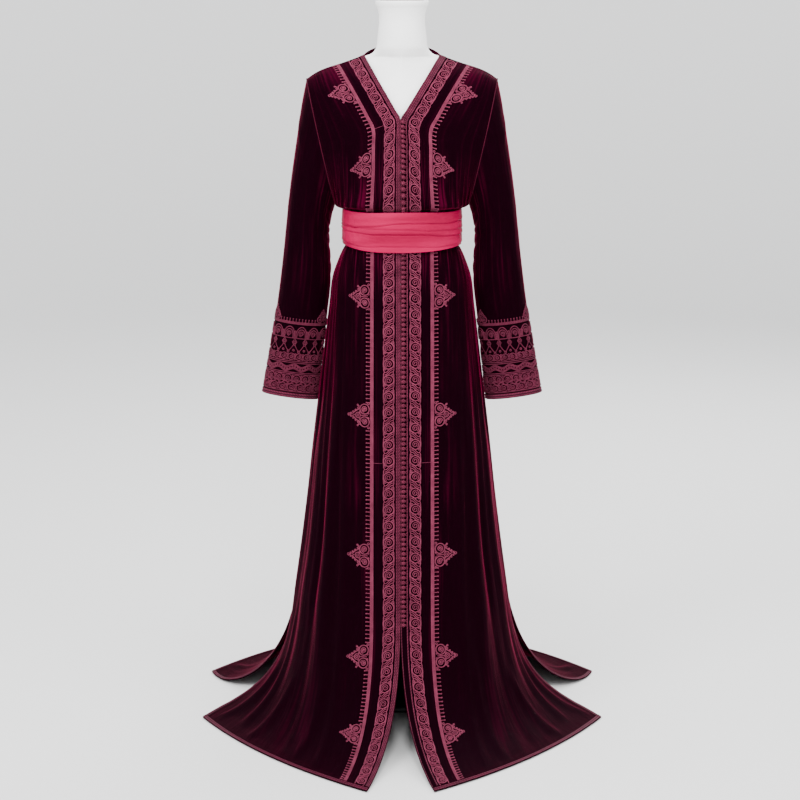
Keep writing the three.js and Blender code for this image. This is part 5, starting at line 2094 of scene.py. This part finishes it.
LEFT_CREASES = (
    Crease((13, 17, 21), (0.13, 0.13, 0.12), 2.4, 7), Crease((13, 16, 19), (0.30, 0.31, 0.33), 2.4, 6),
    Crease((13, 18, 24), (0.42, 0.41, 0.40), 3.0, 8), Crease((13, 16.5, 20), (0.62, 0.63, 0.64), 2.4, 7),
    Crease((13, 17, 22), (0.74, 0.73, 0.74), 2.4, 7), Crease((13, 16, 19), (0.90, 0.90, 0.90), 2.0, 6),
    Crease((17, 23, 31), (0.04, 0.04, 0.05), 2.8, 12), Crease((20, 26, 31), (0.36, 0.35, 0.35), -3.0, 13),
    Crease((19, 25, 30.5), (0.66, 0.67, 0.70), 4.2, 13), Crease((24, 28, 31), (0.10, 0.13, 0.18), 3.4, 10),
    Crease((25, 28, 31.3), (0.44, 0.50, 0.58), 4.2, 12), Crease((25, 29, 31.3), (0.76, 0.82, 0.88), 3.4, 12),
    Crease((5, 7, 10.5), (0.10, 0.08, 0.05), 1.6, 7), Crease((5.5, 8, 11), (0.38, 0.33, 0.24), 2.0, 7),
    Crease((6, 8, 11), (0.62, 0.56, 0.44), 2.2, 7), Crease((6.5, 8.5, 11), (0.84, 0.78, 0.64), 2.0, 6),
    Crease((1, 3, 5.5), (0.52, 0.64, 0.82), 1.6, 9), Crease((8.3, 9.4, 10.6), (0.95, 0.82, 0.7), 2.0, 6),
)
BACK_CREASES = (
    Crease((13, 17, 21), (0.16, 0.155, 0.15), 2.6, 7), Crease((13, 16, 20), (0.27, 0.27, 0.265), 2.4, 7),
    Crease((13, 17, 23), (0.40, 0.40, 0.39), 3.0, 8), Crease((13, 16, 19), (0.52, 0.52, 0.525), 2.2, 6),
    Crease((13, 17, 22), (0.64, 0.64, 0.645), 2.8, 7), Crease((13, 16, 20), (0.75, 0.755, 0.76), 2.4, 7),
    Crease((13, 17, 21), (0.86, 0.86, 0.865), 2.4, 7), Crease((20, 26, 31), (0.28, 0.275, 0.26), -3.0, 13),
    Crease((20, 26, 31), (0.52, 0.525, 0.53), -3.2, 13), Crease((20, 26, 31), (0.76, 0.765, 0.775), -3.0, 13),
    Crease((25, 28, 31.3), (0.40, 0.385, 0.36), 4.0, 13), Crease((25, 28, 31.3), (0.63, 0.645, 0.67), 4.0, 13),
    Crease((25, 29, 31.3), (0.14, 0.12, 0.10), 3.6, 12), Crease((25, 29, 31.3), (0.87, 0.89, 0.91), 3.6, 12),
    Crease((6, 8.5, 11), (0.30, 0.34, 0.38), 2.0, 8), Crease((6, 8.5, 11), (0.70, 0.66, 0.62), 2.0, 8),
    Crease((7, 9, 11), (0.16, 0.22, 0.28), 2.2, 7), Crease((7, 9, 11), (0.84, 0.78, 0.72), 2.2, 7),
    Crease((2, 5, 8), (0.20, 0.24, 0.27), 1.6, 11), Crease((2, 5, 8), (0.80, 0.76, 0.73), 1.6, 11),
    Crease((7.5, 9, 10.8), (0.48, 0.49, 0.495), 1.6, 7), Crease((8, 9.4, 10.8), (0.56, 0.555, 0.55), 1.6, 6),
)
SLEEVE_CREASES = (
    SleeveCrease(180, 3.1, 0.5, -2.4, 0.9, 0.16), SleeveCrease(170, 3.9, -0.45, -2.6, 0.9, 0.17),
    SleeveCrease(190, 4.8, 0.5, -2.4, 1.0, 0.17), SleeveCrease(200, 5.6, -0.4, -2.0, 0.9, 0.16),
    SleeveCrease(150, 6.3, 0.35, -1.6, 0.9, 0.16), SleeveCrease(320, 4.4, 0.5, 1.6, 0.7, 0.2),
    SleeveCrease(60, 5.2, -0.5, 1.6, 0.7, 0.2), SleeveCrease(30, 2.1, 0.6, 1.4, 0.7, 0.24),
    SleeveCrease(100, 7.1, 0.3, -1.6, 0.8, 0.18), SleeveCrease(270, 6.6, -0.3, -1.8, 0.9, 0.18),
    SleeveCrease(230, 1.6, 0.4, -1.6, 0.8, 0.2), SleeveCrease(130, 1.9, -0.4, -1.6, 0.8, 0.2),
)


# ------ studio
@dataclass(frozen=True)
class Studio:
    """The floor, the soft lights and the camera.

    Attributes:
        camera_at: the camera's place, in metres.
        pitch: its tilt, in degrees from straight down.
        lens: its focal length.
        sky: the sky's colour.
        sky_strength: its strength.
        lights: name, place, aim, size and power of each light.
    """

    camera_at: Spot = (-0.0043, -4.4, 1.53)
    pitch: float = 78.86
    lens: float = 92.4
    sky: Colour = (0.86, 0.865, 0.88)
    sky_strength: float = 1.7
    lights: tuple[tuple[str, Spot, Spot, float, float], ...] = (
        ("key", (-2.8, -3.0, 3.4), (0, 0, 0.8), 2.2, 178), ("fill", (3.4, -2.6, 2.2), (0, 0, 0.8), 2.6, 86),
        ("rim", (1.5, 3.0, 3.2), (0, 0, 0.9), 2.2, 116), ("top", (0, -0.4, 4.4), (0, 0, 0), 3.4, 96),
        ("neck", (0, -1.5, 2.3), (0, 0, 1.6), 0.4, 34),
    )

    def build(self) -> None:
        """Makes the floor, a plane that curves up all round far away, the lights, the sky and the camera."""
        reach, level, rim_height, thickness = 10000, 5600, 4200, 20
        run = np.linspace(-reach, reach, 81)
        y, x = np.meshgrid(run, run, indexing="ij")
        rise = np.maximum(np.hypot(x, y) - level, 0) / (reach - level)
        top = stack(x, y, rim_height * rise**2.2 - 0.4)
        form = Form()
        form.shell(top, top - [0, 0, thickness], np.stack([x, y], -1))
        floor = form.build("studio_floor", FLOOR, [])
        for light in self.lights:
            self.light(*light)
        world = bpy.data.worlds.new("studio_sky")
        world.use_nodes = True
        background = world.node_tree.nodes["Background"]
        background.inputs["Color"].default_value = (*self.sky, 1)
        background.inputs["Strength"].default_value = self.sky_strength
        bpy.context.scene.world = world
        data = bpy.data.cameras.new("camera")
        data.lens, data.sensor_width = self.lens, 36
        data.clip_start, data.clip_end = 0.05, 60
        camera = bpy.data.objects.new("camera", data)
        camera.location = self.camera_at
        camera.rotation_euler = (math.radians(self.pitch), 0, 0)
        bpy.context.scene.collection.objects.link(camera)
        bpy.context.scene.camera = camera

    def light(self, name: str, at: Spot, aim: Spot, size: float, power: float) -> None:
        """Adds one square soft light that faces a point.

        Args:
            name: the light's name.
            at: where it stands.
            aim: the point it faces.
            size: the length of its side.
            power: its power, in watts.
        """
        data = bpy.data.lights.new(name, "AREA")
        data.size, data.energy = size, power
        lamp = bpy.data.objects.new(name, data)
        back = unit(np.array(at, float) - np.array(aim, float))
        lamp.location = at
        lamp.rotation_euler = (math.acos(back[2]), 0, math.atan2(back[0], -back[1]))
        bpy.context.scene.collection.objects.link(lamp)


@dataclass
class Piping:
    """The corded seam round one armhole, its cord coloured lighter than the velvet as a painted highlight."""

    side: Side

    def build(self) -> Piece:
        """A closed cord on the armhole's ellipse, a little outside the seam.

        Returns:
            The piece.
        """
        turn = np.linspace(0, 360, 120, endpoint=False)
        points = rounded(armhole(turn, -1))
        out = unit(points - [(TIP_X + UNDERARM_X) / 2, 0, (TIP_Z + UNDERARM_Z) / 2])
        points = points + out * 0.7
        mirror = np.array([self.side.value, 1, 1])
        form = Form()
        form.tubes((points * mirror)[None], (out * mirror)[None], 1.1, 6, True)
        # The cord's lighter colour is a painted highlight along the seam.
        return form.build(f"armhole_piping_{self.side.label}", SEAM_HIGHLIGHT, [])


def main() -> None:
    """Builds the caftan and its form, piece by piece."""
    logging.basicConfig(level=logging.INFO, format="%(name)s %(message)s")
    Studio().build()
    fronts = [Front(Side.RIGHT, RIGHT_FOLDS, RIGHT_CREASES), Front(Side.LEFT, LEFT_FOLDS, LEFT_CREASES)]
    for front in fronts:
        side = front.side.label
        front.panel.make(f"velvet_front_{side}", f"front_{side}", "hung", ["form_shell", "wound_sash"])
        FrontTrim(front).build()
        Piping(front.side).build()
    face = fronts[1].field()
    top, low = np.interp([POINT_ROW, SLIT_ROW + 0.35], fronts[1].panel.rows[:, 0], face.along)
    ButtonRow(face, top + 6, low).build()
    back = Back(BACK_FOLDS, BACK_CREASES)
    back.panel.make("velvet_back", "back", "hung", ["form_shell", "wound_sash"])
    BackTrim(back).build()
    for side in Side:
        sleeve = Sleeve(side, SLEEVE_CREASES)
        rests_on = [f"velvet_front_{side.label}", "velvet_back"]
        sleeve.panel.make(f"velvet_sleeve_{side.label}", f"sleeve_{side.label}", "hung", rests_on)
        CuffTrim(sleeve).build()
    Sash().build()
    DressForm().build()


if __name__ == "__main__":
    main()
